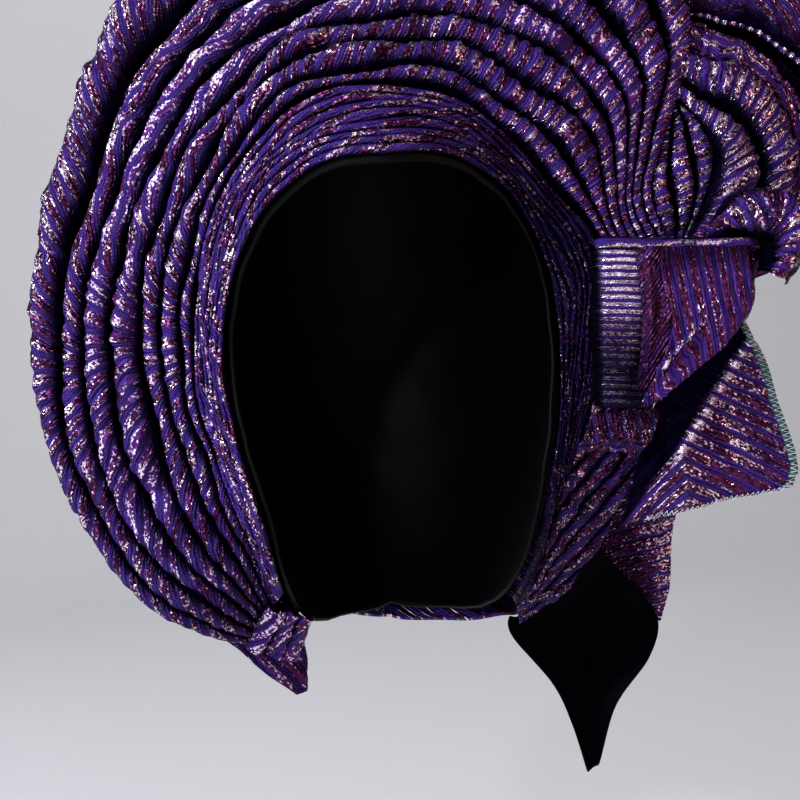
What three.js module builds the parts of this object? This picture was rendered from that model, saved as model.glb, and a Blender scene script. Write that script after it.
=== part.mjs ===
// Tied gele head tie: one long striped cloth, pleated and tied over a fitted cap, with its knot at one side.
// Millimetres, +Z up. The face opening looks toward -Y and the knot is on the +X side.
// The origin is the crown, the highest point inside the cap, where it sits on a head.
import * as THREE from "three";
import { mergeVertices } from "three/addons/utils/BufferGeometryUtils.js";

// Head form that the cap fits: half sizes about its middle, and how square the jaw half is
const headHalfWidth = 76;
const headHalfDepth = 100;
const headCrownReach = 127;
const headNeckReach = 138;
const headSetBack = 5;
const crownRoundness = 2;
const jawRoundness = 2.1;

// Cap and the cloth wrapped round its back
const capWall = 1.5;
const capSeam = 0.7;
const capMiddle = 20;
const wrapWall = 1.6;
const wrapOffset = 9;
const wrapPleatRise = 2.2;
const wrapPleats = 12;
const wrapFoot = 0.34;

// Fine pleats round the face
const bandWidth = 31;
const bandSetBack = 16;
const bandWall = 1.2;
const bandPleats = 5;
const bandPleatRise = 2.4;
const bandOverhang = 1.5;

// Large rolled folds of the brim
const brimReach = 121;
const brimLean = 54;
const throatWidth = 28;
const foldWall = 1.4;
const foldRise = 0.55;
const foldSkirt = 9;

// Pleats below the knot on the face's right
const sideWidth = 36;
const sideLean = 16;
const sidePleats = 6;
const sidePleatRise = 3;

// Knot, bow and lobes
const knotWidth = 69;
const knotHeight = 69;
const knotDepth = 21;
const knotWall = 1.6;
const knotTurn = 26;
const knotOnBand = 0.62;
const bowReach = 155;
const bowRise = 143;
const bowDepth = 48;
const lobeLength = 0.94;
const lobeClearance = 0.05;
const lobeStart = 17;
const bowHold = 0.2;

// Hanging corners and tails
const flapWidth = 87;
const flapDrop = 121;
const flapWall = 1.4;
const tailWidth = 70;
const tailDrop = 135;
const tailWall = 1.4;
const leftTailWidth = 48;
const leftTailDrop = 55;
const liningTurns = { from: -67, to: -46 };
const leftTailTurns = { from: 231, to: 246 };
const hangHold = 0.4;
const tailTurn = -38;
const tailPlace = 0.17;
const leftTailInset = 4;
const napeBack = 8;
const napeStart = 0.6;
const napeSpread = 5;

// Clearance kept between neighbouring layers of cloth
const layerGap = 0.6;

const degrees = Math.PI / 180;
const headCentreZ = -headCrownReach;

// Depth of the cap's front edge at each turn about the face, as shares of the head's half depth
const rimTable = [
  { at: -90, depth: 0.52 },
  { at: -79, depth: 0.4 },
  { at: -71, depth: 0.12 },
  { at: -64, depth: -0.14 },
  { at: -56, depth: -0.34 },
  { at: -44, depth: -0.46 },
  { at: -20, depth: -0.44 },
  { at: 0, depth: -0.42 },
  { at: 25, depth: -0.42 },
  { at: 46, depth: -0.55 },
  { at: 65, depth: -0.7 },
  { at: 90, depth: -0.8 },
  { at: 115, depth: -0.7 },
  { at: 135, depth: -0.57 },
  { at: 160, depth: -0.46 },
  { at: 180, depth: -0.42 },
  { at: 205, depth: -0.45 },
  { at: 228, depth: -0.46 },
  { at: 238, depth: -0.34 },
  { at: 245, depth: -0.14 },
  { at: 251, depth: 0.12 },
  { at: 259, depth: 0.4 },
  { at: 270, depth: 0.52 },
];

// Width and set-back of the fine pleats, as shares of bandWidth and bandSetBack
const bandTable = [
  { at: -66, width: 0.16, setBack: 0.5 },
  { at: -46, width: 0.2, setBack: 0.5 },
  { at: -30, width: 0.32, setBack: 0.1 },
  { at: -12, width: 0.45, setBack: -0.4 },
  { at: 3, width: 0.58, setBack: -0.7 },
  { at: 16, width: 0.72, setBack: -1.0 },
  { at: 28, width: 0.65, setBack: -0.9 },
  { at: 36, width: 0.55, setBack: -0.7 },
  { at: 44, width: 0.48, setBack: -0.4 },
  { at: 57, width: 0.58, setBack: 0.2 },
  { at: 75, width: 0.85, setBack: 0.75 },
  { at: 95, width: 1, setBack: 1 },
  { at: 120, width: 0.75, setBack: 0.75 },
  { at: 142, width: 0.52, setBack: 0.8 },
  { at: 160, width: 0.42, setBack: 0.7 },
  { at: 175, width: 0.36, setBack: 0.6 },
  { at: 191, width: 0.38, setBack: 0.75 },
  { at: 206, width: 0.32, setBack: 0.9 },
  { at: 223, width: 0.3, setBack: 1 },
  { at: 242, width: 0.22, setBack: 1 },
];

// The brim's folds: throat is a share of throatWidth, reach of brimReach and lean of brimLean,
// and creases are shares of the width there, from the face outwards
const brimTable = [
  { at: 14, throat: 1, reach: 0, lean: 0.02, creases: [0.14, 0.28, 0.43, 0.57, 0.71, 0.86] },
  { at: 28, throat: 0.5, reach: 0.14, lean: 0.07, creases: [0.13, 0.27, 0.42, 0.55, 0.68, 0.83] },
  { at: 36, throat: 0, reach: 0.5, lean: 0.26, creases: [0.12, 0.26, 0.4, 0.52, 0.64, 0.8] },
  { at: 44, throat: 0, reach: 0.84, lean: 0.5, creases: [0.1, 0.24, 0.38, 0.5, 0.62, 0.82] },
  { at: 57, throat: 0, reach: 1, lean: 0.85, creases: [0.08, 0.2, 0.33, 0.46, 0.6, 0.8] },
  { at: 75, throat: 0, reach: 0.87, lean: 1, creases: [0.07, 0.19, 0.31, 0.44, 0.6, 0.8] },
  { at: 95, throat: 0, reach: 0.74, lean: 1, creases: [0.06, 0.18, 0.3, 0.42, 0.6, 0.8] },
  { at: 120, throat: 0, reach: 0.72, lean: 0.83, creases: [0.05, 0.14, 0.24, 0.36, 0.51, 0.7] },
  { at: 142, throat: 0, reach: 0.62, lean: 0.65, creases: [0.05, 0.16, 0.28, 0.42, 0.57, 0.73] },
  { at: 160, throat: 0, reach: 0.6, lean: 0.61, creases: [0.07, 0.19, 0.31, 0.47, 0.64, 0.78] },
  { at: 175, throat: 0, reach: 0.587, lean: 0.61, creases: [0.06, 0.18, 0.3, 0.47, 0.65, 0.8] },
  { at: 191, throat: 0, reach: 0.57, lean: 0.59, creases: [0.06, 0.16, 0.27, 0.5, 0.68, 0.84] },
  { at: 206, throat: 0, reach: 0.545, lean: 0.61, creases: [0.06, 0.17, 0.32, 0.51, 0.7, 0.87] },
  { at: 223, throat: 0, reach: 0.47, lean: 0.44, creases: [0.07, 0.19, 0.34, 0.51, 0.69, 0.86] },
  { at: 233, throat: 0, reach: 0.34, lean: 0.3, creases: [0.08, 0.21, 0.35, 0.51, 0.68, 0.85] },
  { at: 242, throat: 0, reach: 0.17, lean: 0.2, creases: [0.1, 0.24, 0.38, 0.53, 0.68, 0.84] },
];
const brimFrom = brimTable[0].at;
const brimTo = brimTable[brimTable.length - 1].at;
const brimSteps = 26;

// The pleats below the knot: shares of sideWidth and sideLean
const sideTable = [
  { at: -66, width: 0.26, lean: 1 },
  { at: -57, width: 0.58, lean: 1 },
  { at: -46, width: 0.82, lean: 1 },
  { at: -34, width: 0.78, lean: 0.3 },
  { at: -18, width: 0.75, lean: 0.1 },
  { at: -6, width: 0.6, lean: 0 },
];
const sideFrom = sideTable[0].at;
const sideTo = sideTable[sideTable.length - 1].at;

// The bow's inner and outer edges from the brim (0) to the knot (1), right and up of the knot's corner:
// shares of bowReach across, bowRise up and bowDepth back from the knot's front
const bowTable = [
  { at: 0.2, inAcross: 0.38, inUp: 0.35, inBack: 0.62, outAcross: 0.68, outUp: 1, outBack: 1.35 },
  { at: 0.4, inAcross: 0.4, inUp: 0.27, inBack: 0.55, outAcross: 0.9, outUp: 0.8, outBack: 1.25 },
  { at: 0.6, inAcross: 0.39, inUp: 0.19, inBack: 0.48, outAcross: 1, outUp: 0.5, outBack: 1.12 },
  { at: 0.8, inAcross: 0.35, inUp: 0.1, inBack: 0.42, outAcross: 0.93, outUp: 0.18, outBack: 0.9 },
  { at: 0.9, inAcross: 0.33, inUp: 0.06, inBack: 0.4, outAcross: 0.74, outUp: -0.04, outBack: 0.68 },
  { at: 1, inAcross: 0.31, inUp: 0.02, inBack: 0.37, outAcross: 0.47, outUp: -0.14, outBack: 0.42 },
];
const bowStart = { inner: 37.5, outer: 52 };
const bowCreases = [
  { at: 0, creases: [0.085, 0.25, 0.39, 0.5] },
  { at: 0.2, creases: [0.1, 0.3, 0.4, 0.5] },
  { at: 0.5, creases: [0.19, 0.46, 0.54, 0.64] },
  { at: 0.8, creases: [0.26, 0.52, 0.61, 0.71] },
  { at: 1, creases: [0.28, 0.52, 0.64, 0.76] },
];

// Small folds between the brim and the bow, from the knot up
const lobeCreases = [
  { at: 0, creases: [0.42, 0.82] },
  { at: 0.5, creases: [0.3, 0.68] },
  { at: 1, creases: [0.3, 0.66] },
];

// A fold's section from its inner to its outer edge: shares of its half width, its rise and its skirt
const foldSection = [
  { across: -1, rise: 0, skirt: 1 },
  { across: -1, rise: 0, skirt: 0 },
  { across: -0.72, rise: 0.7, skirt: 0 },
  { across: 0, rise: 1, skirt: 0 },
  { across: 0.72, rise: 0.7, skirt: 0 },
  { across: 1, rise: 0, skirt: 0 },
  { across: 1, rise: 0, skirt: 1 },
];

// The knot's wrap, row by row from the hem down: shares of knotHeight, knotWidth and knotDepth
const knotRows = [
  { down: 0.04, left: 0.03, right: 0.96, forward: 0.82 },
  { down: 0, left: 0.01, right: 0.98, forward: 0.9 },
  { down: 0.02, left: 0, right: 1, forward: 1 },
  { down: 0.1, left: 0, right: 1, forward: 0.98 },
  { down: 0.26, left: 0, right: 1, forward: 0.97 },
  { down: 0.43, left: 0, right: 0.97, forward: 0.97 },
  { down: 0.7, left: 0, right: 0.76, forward: 0.95 },
  { down: 0.92, left: 0, right: 0.56, forward: 0.92 },
  { down: 1, left: 0.02, right: 0.44, forward: 0.8 },
  { down: 1.01, left: 0.05, right: 0.4, forward: 0.55 },
];
const knotTilt = 0.07;
const knotSection = [
  { across: 0, forward: 0 },
  { across: 0, forward: 0.8 },
  { across: 0.06, forward: 0.96 },
  { across: 0.25, forward: 1.03 },
  { across: 0.45, forward: 0.96 },
  { across: 0.8, forward: 1 },
  { across: 0.96, forward: 0.95 },
  { across: 1, forward: 0.75 },
];

// The roll that lies over the knot's outer corner: shares of knotWidth across and knotHeight up
const rosetteTable = [
  { at: 0, inAcross: 0.73, inUp: -0.03, outAcross: 0.77, outUp: 0.04 },
  { at: 0.3, inAcross: 0.93, inUp: -0.04, outAcross: 0.97, outUp: 0.26 },
  { at: 0.6, inAcross: 1.07, inUp: -0.05, outAcross: 1.33, outUp: 0.16 },
  { at: 0.85, inAcross: 1.08, inUp: -0.15, outAcross: 1.34, outUp: -0.18 },
  { at: 1, inAcross: 1.06, inUp: -0.24, outAcross: 1.22, outUp: -0.33 },
];

// Flaps and tails, row by row: shares of the named width and drop of each, and millimetre depths as
// shares of knotDepth behind the knot's front
const underRows = [
  { at: 0, inAcross: -0.01, inUp: -1.05, outAcross: 0.4, outUp: -1.04, inBack: 0.55, outBack: 0.5 },
  { at: 0.4, inAcross: -0.06, inUp: -1.14, outAcross: 0.37, outUp: -1.16, inBack: 0.5, outBack: 0.45 },
  { at: 0.8, inAcross: -0.12, inUp: -1.24, outAcross: 0.31, outUp: -1.27, inBack: 0.6, outBack: 0.52 },
  { at: 1, inAcross: -0.11, inUp: -1.25, outAcross: 0.3, outUp: -1.28, inBack: 0.8, outBack: 0.75 },
];
const cornerRows = [
  { at: 0, inAcross: 0.58, inUp: -0.22, outAcross: 0.71, outUp: -0.24, inBack: 0.2, outBack: 0.24 },
  { at: 0.2, inAcross: 0.5, inUp: -0.4, outAcross: 0.87, outUp: -0.44, inBack: 0.95, outBack: 0.62 },
  { at: 0.4, inAcross: 0.34, inUp: -0.57, outAcross: 0.92, outUp: -0.6, inBack: 0.98, outBack: 0.58 },
  { at: 0.6, inAcross: 0.25, inUp: -0.72, outAcross: 0.98, outUp: -0.75, inBack: 1.02, outBack: 0.6 },
  { at: 0.8, inAcross: 0.2, inUp: -0.84, outAcross: 1, outUp: -0.85, inBack: 1.15, outBack: 0.72 },
  { at: 1, inAcross: 0.14, inUp: -1, outAcross: 0.95, outUp: -0.91, inBack: 1.5, outBack: 0.9 },
];

// Value at a place along a table, on a smooth curve through its rows
function smooth(table, pick, at) {
  const last = table.length - 1;
  const place = THREE.MathUtils.clamp(at, table[0].at, table[last].at);
  let row = 0;
  while (row < last - 1 && place > table[row + 1].at) row += 1;
  const slope = (index) => {
    const before = table[Math.max(index - 1, 0)];
    const after = table[Math.min(index + 1, last)];
    return (pick(after) - pick(before)) / (after.at - before.at);
  };
  const span = table[row + 1].at - table[row].at;
  const t = (place - table[row].at) / span;
  const start = (1 + 2 * t) * (1 - t) * (1 - t);
  const end = t * t * (3 - 2 * t);
  const startSlope = t * (1 - t) * (1 - t) * span;
  const endSlope = t * t * (t - 1) * span;
  return (
    start * pick(table[row]) + end * pick(table[row + 1]) + startSlope * slope(row) + endSlope * slope(row + 1)
  );
}

const steps = (count) => Array.from({ length: count + 1 }, (_, index) => index / count);
const mix = THREE.MathUtils.lerp;

// Polar places about the line that runs front to back through the middle of the head form
function polar(turn, radius, depth) {
  const angle = turn * degrees;
  return new THREE.Vector3(radius * Math.cos(angle), depth, headCentreZ + radius * Math.sin(angle));
}

function headReach(turn) {
  const across = Math.abs(Math.cos(turn * degrees));
  const up = Math.sin(turn * degrees);
  const roundness = up < 0 ? jawRoundness : crownRoundness;
  const height = up < 0 ? headNeckReach : headCrownReach;
  return ((across / headHalfWidth) ** roundness + (Math.abs(up) / height) ** roundness) ** (-1 / roundness);
}

function headRadius(turn, depth) {
  const share = THREE.MathUtils.clamp((depth - headSetBack) / headHalfDepth, -1, 1);
  return headReach(turn) * Math.sqrt(1 - share * share);
}

const rimShare = (turn) => smooth(rimTable, (row) => row.depth, turn);
const rimDepth = (turn) => headSetBack + headHalfDepth * rimShare(turn);

// Edges of the face band, the brim and the side pleats at a turn
function bandEdge(turn, share) {
  const clear = capWall + bandWall + 2.4 * layerGap;
  const inner = headRadius(turn, rimDepth(turn)) + clear;
  const width = bandWidth * smooth(bandTable, (row) => row.width, turn);
  const setBack = bandSetBack * smooth(bandTable, (row) => row.setBack, turn);
  const depth = rimDepth(turn) - bandOverhang;
  const outer = Math.max(inner + width, headRadius(turn, depth + setBack + foldSkirt) + clear);
  return { radius: mix(inner, outer, share), depth: depth + setBack * share };
}

function fanEdge(turn, share, width, lean) {
  const start = bandEdge(turn, 1);
  return polar(turn, start.radius + 2 * layerGap + width * share, start.depth + lean * share);
}

function brimPoint(turn, share) {
  const throat = throatWidth * smooth(brimTable, (row) => row.throat, turn);
  const width = throat + brimReach * smooth(brimTable, (row) => row.reach, turn);
  const lean = brimLean * smooth(brimTable, (row) => row.lean, turn);
  return fanEdge(turn, share, width, lean);
}

function sidePoint(turn, share) {
  const width = sideWidth * smooth(sideTable, (row) => row.width, turn);
  const lean = sideLean * smooth(sideTable, (row) => row.lean, turn);
  return fanEdge(turn, share, width, lean);
}

// A closed wall of cloth between a grid of face points and the same grid moved back by the wall
function clothWall(faceAt, acrossSteps, alongSteps, wall, { ring = false, pole = false } = {}) {
  const rows = ring ? alongSteps.length - 1 : alongSteps.length;
  const lastColumn = acrossSteps.length - 1;
  const face = acrossSteps.map((across) => alongSteps.slice(0, rows).map((along) => faceAt(across, along)));
  const after = (row) => (ring ? (row + 1) % rows : Math.min(row + 1, rows - 1));
  const before = (row) => (ring ? (row + rows - 1) % rows : Math.max(row - 1, 0));
  const facing = (column, row) => {
    const from = face[Math.max(column - 1, 0)];
    const to = face[Math.min(column + 1, lastColumn)];
    const acrossWay = to[row].clone().sub(from[row]);
    const alongWay = face[column][after(row)].clone().sub(face[column][before(row)]);
    return acrossWay.cross(alongWay);
  };
  const poleFacing = new THREE.Vector3();
  if (pole) face[lastColumn].forEach((_, row) => poleFacing.add(facing(lastColumn - 1, row)));
  const wallAt = typeof wall === "function" ? wall : () => wall;
  const back = face.map((column, c) =>
    column.map((point, row) => {
      const normal = (pole && c === lastColumn ? poleFacing.clone() : facing(c, row)).normalize();
      return point.clone().addScaledVector(normal, -wallAt(alongSteps[row]));
    }),
  );
  const corners = [];
  const square = (a, b, c, d) => corners.push(a, b, c, a, c, d);
  for (let c = 0; c < lastColumn; c += 1) {
    for (let r = 0; r < (ring ? rows : rows - 1); r += 1) {
      const n = after(r);
      if (pole && c === lastColumn - 1) {
        corners.push(face[c][r], face[c + 1][r], face[c][n]);
        corners.push(back[c][n], back[c + 1][r], back[c][r]);
      } else {
        square(face[c][r], face[c + 1][r], face[c + 1][n], face[c][n]);
        square(back[c][n], back[c + 1][n], back[c + 1][r], back[c][r]);
      }
    }
  }
  for (let r = 0; r < (ring ? rows : rows - 1); r += 1) {
    const n = after(r);
    square(face[0][n], back[0][n], back[0][r], face[0][r]);
    if (!pole) square(face[lastColumn][r], back[lastColumn][r], back[lastColumn][n], face[lastColumn][n]);
  }
  for (let c = 0; c < lastColumn && !ring; c += 1) {
    const end = rows - 1;
    square(face[c][0], back[c][0], back[c + 1][0], face[c + 1][0]);
    square(face[c + 1][end], back[c + 1][end], back[c][end], face[c][end]);
  }
  return solidFrom(corners);
}

// A mesh geometry from corner points, three to a face, turned so that its faces point out
function solidFrom(corners) {
  let volume = 0;
  for (let i = 0; i < corners.length; i += 3) {
    volume += corners[i].dot(corners[i + 1].clone().cross(corners[i + 2]));
  }
  const ordered = volume < 0 ? corners.slice().reverse() : corners;
  const geometry = new THREE.BufferGeometry().setFromPoints(ordered);
  return mergeVertices(geometry, 1e-4);
}

// A fan is a function of a place along it and a share across it, both from 0 to 1
function fanFacing(fan, along, share) {
  const step = 0.004;
  const alongWay = fan(along + step, share).sub(fan(along - step, share));
  const acrossWay = fan(along, share + step).sub(fan(along, share - step));
  const normal = acrossWay.clone().cross(alongWay).normalize();
  const side = normal.y > 0 ? -1 : 1;
  return { normal: normal.multiplyScalar(side), side, alongWay: alongWay.normalize() };
}

// One rolled fold of a fan between two creases: a raised U of cloth, open behind
function foldSolid(fan, lowAt, highAt, count, skirt = foldSkirt) {
  const widthAt = (along) => {
    const middle = fanFacing(fan, along, (lowAt(along) + highAt(along)) / 2);
    const span = fan(along, highAt(along)).sub(fan(along, lowAt(along)));
    return span.addScaledVector(middle.alongWay, -span.dot(middle.alongWay)).length();
  };
  const faceAt = (across, along) => {
    const row = foldSection[Math.round(across * (foldSection.length - 1))];
    const low = lowAt(along);
    const high = highAt(along);
    const width = widthAt(along);
    const half = ((high - low) / 2) * (1 - layerGap / width);
    const share = (low + high) / 2 + half * row.across;
    const raised = fan(along, share).addScaledVector(
      fanFacing(fan, along, share).normal,
      foldRise * width * row.rise,
    );
    raised.y += skirt * row.skirt;
    return raised;
  };
  const { side } = fanFacing(fan, 0.5, (lowAt(0.5) + highAt(0.5)) / 2);
  const wallAt = (along) => side * Math.min(foldWall, 0.28 * widthAt(along));
  return clothWall(faceAt, steps(foldSection.length - 1), steps(count), wallAt);
}

// A fan's folds, one solid each, between the creases of its table
function foldsOf(fan, creaseTable, placeOf, count, skirt) {
  const creaseCount = creaseTable[0].creases.length;
  const creaseAt = (index) => (along) => {
    if (index < 0) return 0;
    if (index >= creaseCount) return 1;
    return smooth(creaseTable, (row) => row.creases[index], placeOf(along));
  };
  return Array.from({ length: creaseCount + 1 }, (_, index) =>
    foldSolid(fan, creaseAt(index - 1), creaseAt(index), count, skirt),
  );
}

// A sheet between two edges with small even pleats across it
function pleatedFace(pointAt, pleats, rise) {
  return (across, along) => {
    const wave = 0.5 - 0.5 * Math.cos(across * pleats * 2 * Math.PI);
    return pointAt(along, across).addScaledVector(fanFacing(pointAt, along, across).normal, rise * wave);
  };
}

// Cap: two halves that meet in a seam over the top
function capFace(across, turn) {
  const rim = Math.asin(rimShare(turn));
  const middle = Math.max(0, rim + capMiddle * degrees);
  const half = 0.5;
  const angle =
    across < half ? mix(rim, middle, across / half) : mix(middle, Math.PI / 2, (across - half) / (1 - half));
  return polar(turn, headReach(turn) * Math.cos(angle), headSetBack + headHalfDepth * Math.sin(angle));
}
function capHalf(fromTurn, toTurn) {
  const side = Math.cos(((fromTurn + toTurn) / 2) * degrees) > 0 ? 1 : -1;
  const faceAt = (across, along) => {
    const point = capFace(across, mix(fromTurn, toTurn, along));
    point.x += (side * capSeam) / 2;
    return point;
  };
  return clothWall(faceAt, steps(6), steps(14), -capWall, { pole: true });
}

// Cloth round the back, from the outer edge of the brim and side pleats to the middle of the back
const wrapStep = foldSkirt + 3 * layerGap + wrapWall;
function wrapEdge(turn) {
  const place = turn > brimTo ? turn - 360 : turn;
  const nape = { from: brimTo - 360, to: sideFrom };
  let edge;
  if (place >= brimFrom) edge = brimPoint(place, 1);
  else if (place >= sideTo) {
    edge = sidePoint(sideTo, 1).lerp(brimPoint(brimFrom, 1), (place - sideTo) / (brimFrom - sideTo));
  } else if (place >= sideFrom) edge = sidePoint(place, 1);
  else {
    const share = (place - nape.from) / (nape.to - nape.from);
    const dip = Math.sin(share * Math.PI);
    const ends = brimPoint(brimTo, 1).lerp(sidePoint(sideFrom, 1), share);
    const napeEdge = polar(place, headRadius(place, rimDepth(place)) + wrapOffset, rimDepth(place));
    edge = ends.lerp(napeEdge, dip);
  }
  return edge.add(new THREE.Vector3(0, wrapStep, 0));
}
const wrapMiddleTable = [
  { at: -90, depth: 0.72 },
  { at: -66, depth: 0.5 },
  { at: -40, depth: 0.3 },
  { at: 0, depth: 0.25 },
  { at: 90, depth: 0.25 },
  { at: 180, depth: 0.25 },
  { at: 220, depth: 0.35 },
  { at: 246, depth: 0.55 },
  { at: 270, depth: 0.72 },
];
function wrapSmooth(across, along) {
  const turn = mix(-90, 270, along);
  const edge = wrapEdge(turn);
  const middleShare = smooth(wrapMiddleTable, (row) => row.depth, turn);
  const middleAngle = Math.asin(middleShare);
  const onDome = (angle) =>
    polar(
      turn,
      (headReach(turn) + wrapOffset) * Math.cos(angle),
      headSetBack + (headHalfDepth + wrapOffset) * Math.sin(angle),
    );
  if (across < wrapFoot) return edge.lerp(onDome(middleAngle), across / wrapFoot);
  return onDome(mix(middleAngle, Math.PI / 2, (across - wrapFoot) / (1 - wrapFoot)));
}
function wrapFace(across, along) {
  const point = wrapSmooth(across, along);
  const pleat = Math.cos(along * wrapPleats * 2 * Math.PI) * Math.sin(Math.min(across, 1) * Math.PI);
  const outward = point.clone().sub(new THREE.Vector3(0, headSetBack, headCentreZ)).normalize();
  return point.addScaledVector(outward, wrapPleatRise * pleat);
}

// Knot frame: the wrap's upper corner beside the face band
const knotCorner = (() => {
  const band = bandEdge(knotTurn, knotOnBand);
  const point = polar(knotTurn, band.radius, band.depth);
  point.y -= bandPleatRise + 1.5 * layerGap;
  return point;
})();
const knotFront = knotCorner.y - knotDepth;
const fromKnot = (across, up, back) =>
  new THREE.Vector3(knotCorner.x + across, knotFront + back, knotCorner.z + up);

function knotFace(across, along) {
  const row = knotRows[Math.round(along * (knotRows.length - 1))];
  const section = knotSection[Math.round(across * (knotSection.length - 1))];
  const share = mix(row.left, row.right, section.across);
  const up = -knotHeight * row.down - knotTilt * knotHeight * share * (1 - row.down);
  return fromKnot(knotWidth * share, up, knotDepth * (1 - row.forward * section.forward));
}

// Bow: it starts beside the brim's outer fold and ends behind the knot
const bowStartTable = (() => {
  const away = new THREE.Vector3(1, 0, -0.3).normalize().multiplyScalar(3 * layerGap);
  const inner = brimPoint(bowStart.inner, 1).add(away);
  const outer = brimPoint(bowStart.outer, 1).add(away);
  const row = (point) => [
    (point.x - knotCorner.x) / bowReach,
    (point.z - knotCorner.z) / bowRise,
    (point.y - knotFront) / bowDepth,
  ];
  const [inAcross, inUp, inBack] = row(inner);
  const [outAcross, outUp, outBack] = row(outer);
  return [{ at: 0, inAcross, inUp, inBack, outAcross, outUp, outBack }, ...bowTable];
})();
function twoEdgeFan(table, width, height, depth) {
  return (along, share) => {
    const value = (key) => smooth(table, (row) => row[key], along);
    const across = mix(value("inAcross"), value("outAcross"), share);
    const up = mix(value("inUp"), value("outUp"), share);
    const back = mix(value("inBack"), value("outBack"), share);
    return fromKnot(width * across, height * up, depth * back);
  };
}
const bowEdges = twoEdgeFan(bowStartTable, bowReach, bowRise, bowDepth);
function bowFan(along, share) {
  // the first edge follows the brim's outer fold
  const place = THREE.MathUtils.clamp(along, 0, 1);
  const straight = bowEdges(along, share);
  const onBrim = brimPoint(mix(bowStart.inner, bowStart.outer, share), 1);
  onBrim.x += 3 * layerGap;
  const hold = Math.max(0, 1 - place / bowHold) ** 2;
  return straight.addScaledVector(onBrim.sub(bowEdges(0, share)), hold);
}

// Small lobes between the brim's outer fold and the bow's inner fold
function lobeFan(along, share) {
  const place = along * lobeLength;
  const left = brimPoint(mix(lobeStart, bowStart.inner, place), 1 + lobeClearance);
  const right = bowFan(1 - place, 0);
  left.x += 2 * layerGap;
  right.x -= layerGap;
  return left.lerp(right, share);
}

// Rosette, flaps and tails
const rosetteFan = (() => {
  const rows = rosetteTable.map((row) => ({ ...row, inBack: 0.02, outBack: 0.12 }));
  return twoEdgeFan(rows, knotWidth, knotHeight, knotDepth);
})();
const underFan = twoEdgeFan(underRows, knotWidth, knotHeight, knotDepth);
const cornerFan = twoEdgeFan(cornerRows, flapWidth, flapDrop, knotDepth);

function tailFan(rows, width, drop, start) {
  return (along, share) => {
    const value = (key) => smooth(rows, (row) => row[key], along);
    const across = mix(value("inAcross"), value("outAcross"), share);
    const up = mix(value("inUp"), value("outUp"), share);
    const back = mix(value("inBack"), value("outBack"), share);
    return start.clone().add(new THREE.Vector3(width * across, width * back, drop * up));
  };
}
const tailStart = (() => {
  const start = wrapSmooth(tailPlace, (tailTurn + 90) / 360);
  return start.add(new THREE.Vector3(0, wrapPleatRise + 2 * layerGap + wrapWall, 0));
})();
const rightTailRows = [
  { at: 0, inAcross: 0.01, inUp: 0.1, inBack: 0.09, outAcross: 0.64, outUp: 0.09, outBack: -0.05 },
  { at: 0.3, inAcross: 0.02, inUp: -0.08, inBack: 0.035, outAcross: 0.7, outUp: -0.06, outBack: -0.04 },
  { at: 0.6, inAcross: 0.1, inUp: -0.18, inBack: 0.05, outAcross: 0.65, outUp: -0.21, outBack: 0.02 },
  { at: 0.85, inAcross: 0.31, inUp: -0.34, inBack: 0.06, outAcross: 0.62, outUp: -0.38, outBack: 0.05 },
  { at: 1, inAcross: 0.5, inUp: -0.48, inBack: 0.09, outAcross: 0.55, outUp: -0.5, outBack: 0.08 },
];
const liningRows = [
  { at: 0, inAcross: -0.62, inUp: -0.42, inBack: 0.26, outAcross: -0.06, outUp: -0.2, outBack: 0.13 },
  { at: 0.25, inAcross: -0.47, inUp: -0.51, inBack: 0.24, outAcross: 0.33, outUp: -0.36, outBack: -0.08 },
  { at: 0.45, inAcross: -0.31, inUp: -0.61, inBack: 0.2, outAcross: 0.5, outUp: -0.48, outBack: -0.05 },
  { at: 0.65, inAcross: -0.18, inUp: -0.71, inBack: 0.14, outAcross: 0.44, outUp: -0.61, outBack: -0.01 },
  { at: 0.85, inAcross: -0.09, inUp: -0.84, inBack: 0.1, outAcross: 0.19, outUp: -0.77, outBack: 0.02 },
  { at: 1, inAcross: -0.01, inUp: -1, inBack: 0.08, outAcross: 0.05, outUp: -0.97, outBack: 0.05 },
];
const rightTailFan = tailFan(rightTailRows, tailWidth, tailDrop, tailStart);

// A tail whose top edge follows the edge of the cloth round the back between two turns
function hungFrom(fan, turns) {
  return (along, share) => {
    const turn = mix(turns.from, turns.to, share);
    const edge = wrapEdge(turn);
    const outward = polar(turn, 1.5 * layerGap, 0).sub(polar(turn, 0, 0));
    const shift = edge.add(outward).sub(fan(0, share));
    const hold = Math.max(0, 1 - Math.max(along, 0) / hangHold) ** 2;
    return fan(along, share).addScaledVector(shift, hold);
  };
}
const liningFan = hungFrom(tailFan(liningRows, tailWidth, tailDrop, tailStart), liningTurns);

const leftTailStart = wrapSmooth(0, (brimTo - leftTailInset + 90) / 360).add(
  new THREE.Vector3(0, wrapPleatRise + layerGap + wrapWall, 0),
);
const leftTailRows = [
  { at: 0, inAcross: -0.4, inUp: 0.25, inBack: 0.1, outAcross: 0.52, outUp: 0.35, outBack: 0.26 },
  { at: 0.4, inAcross: 0.05, inUp: -0.14, inBack: 0.16, outAcross: 0.68, outUp: -0.13, outBack: 0.28 },
  { at: 0.75, inAcross: 0.31, inUp: -0.37, inBack: 0.22, outAcross: 0.69, outUp: -0.34, outBack: 0.34 },
  { at: 1, inAcross: 0.57, inUp: -0.57, inBack: 0.26, outAcross: 0.68, outUp: -0.55, outBack: 0.32 },
];
const leftTailFan = hungFrom(tailFan(leftTailRows, leftTailWidth, leftTailDrop, leftTailStart), leftTailTurns);

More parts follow.
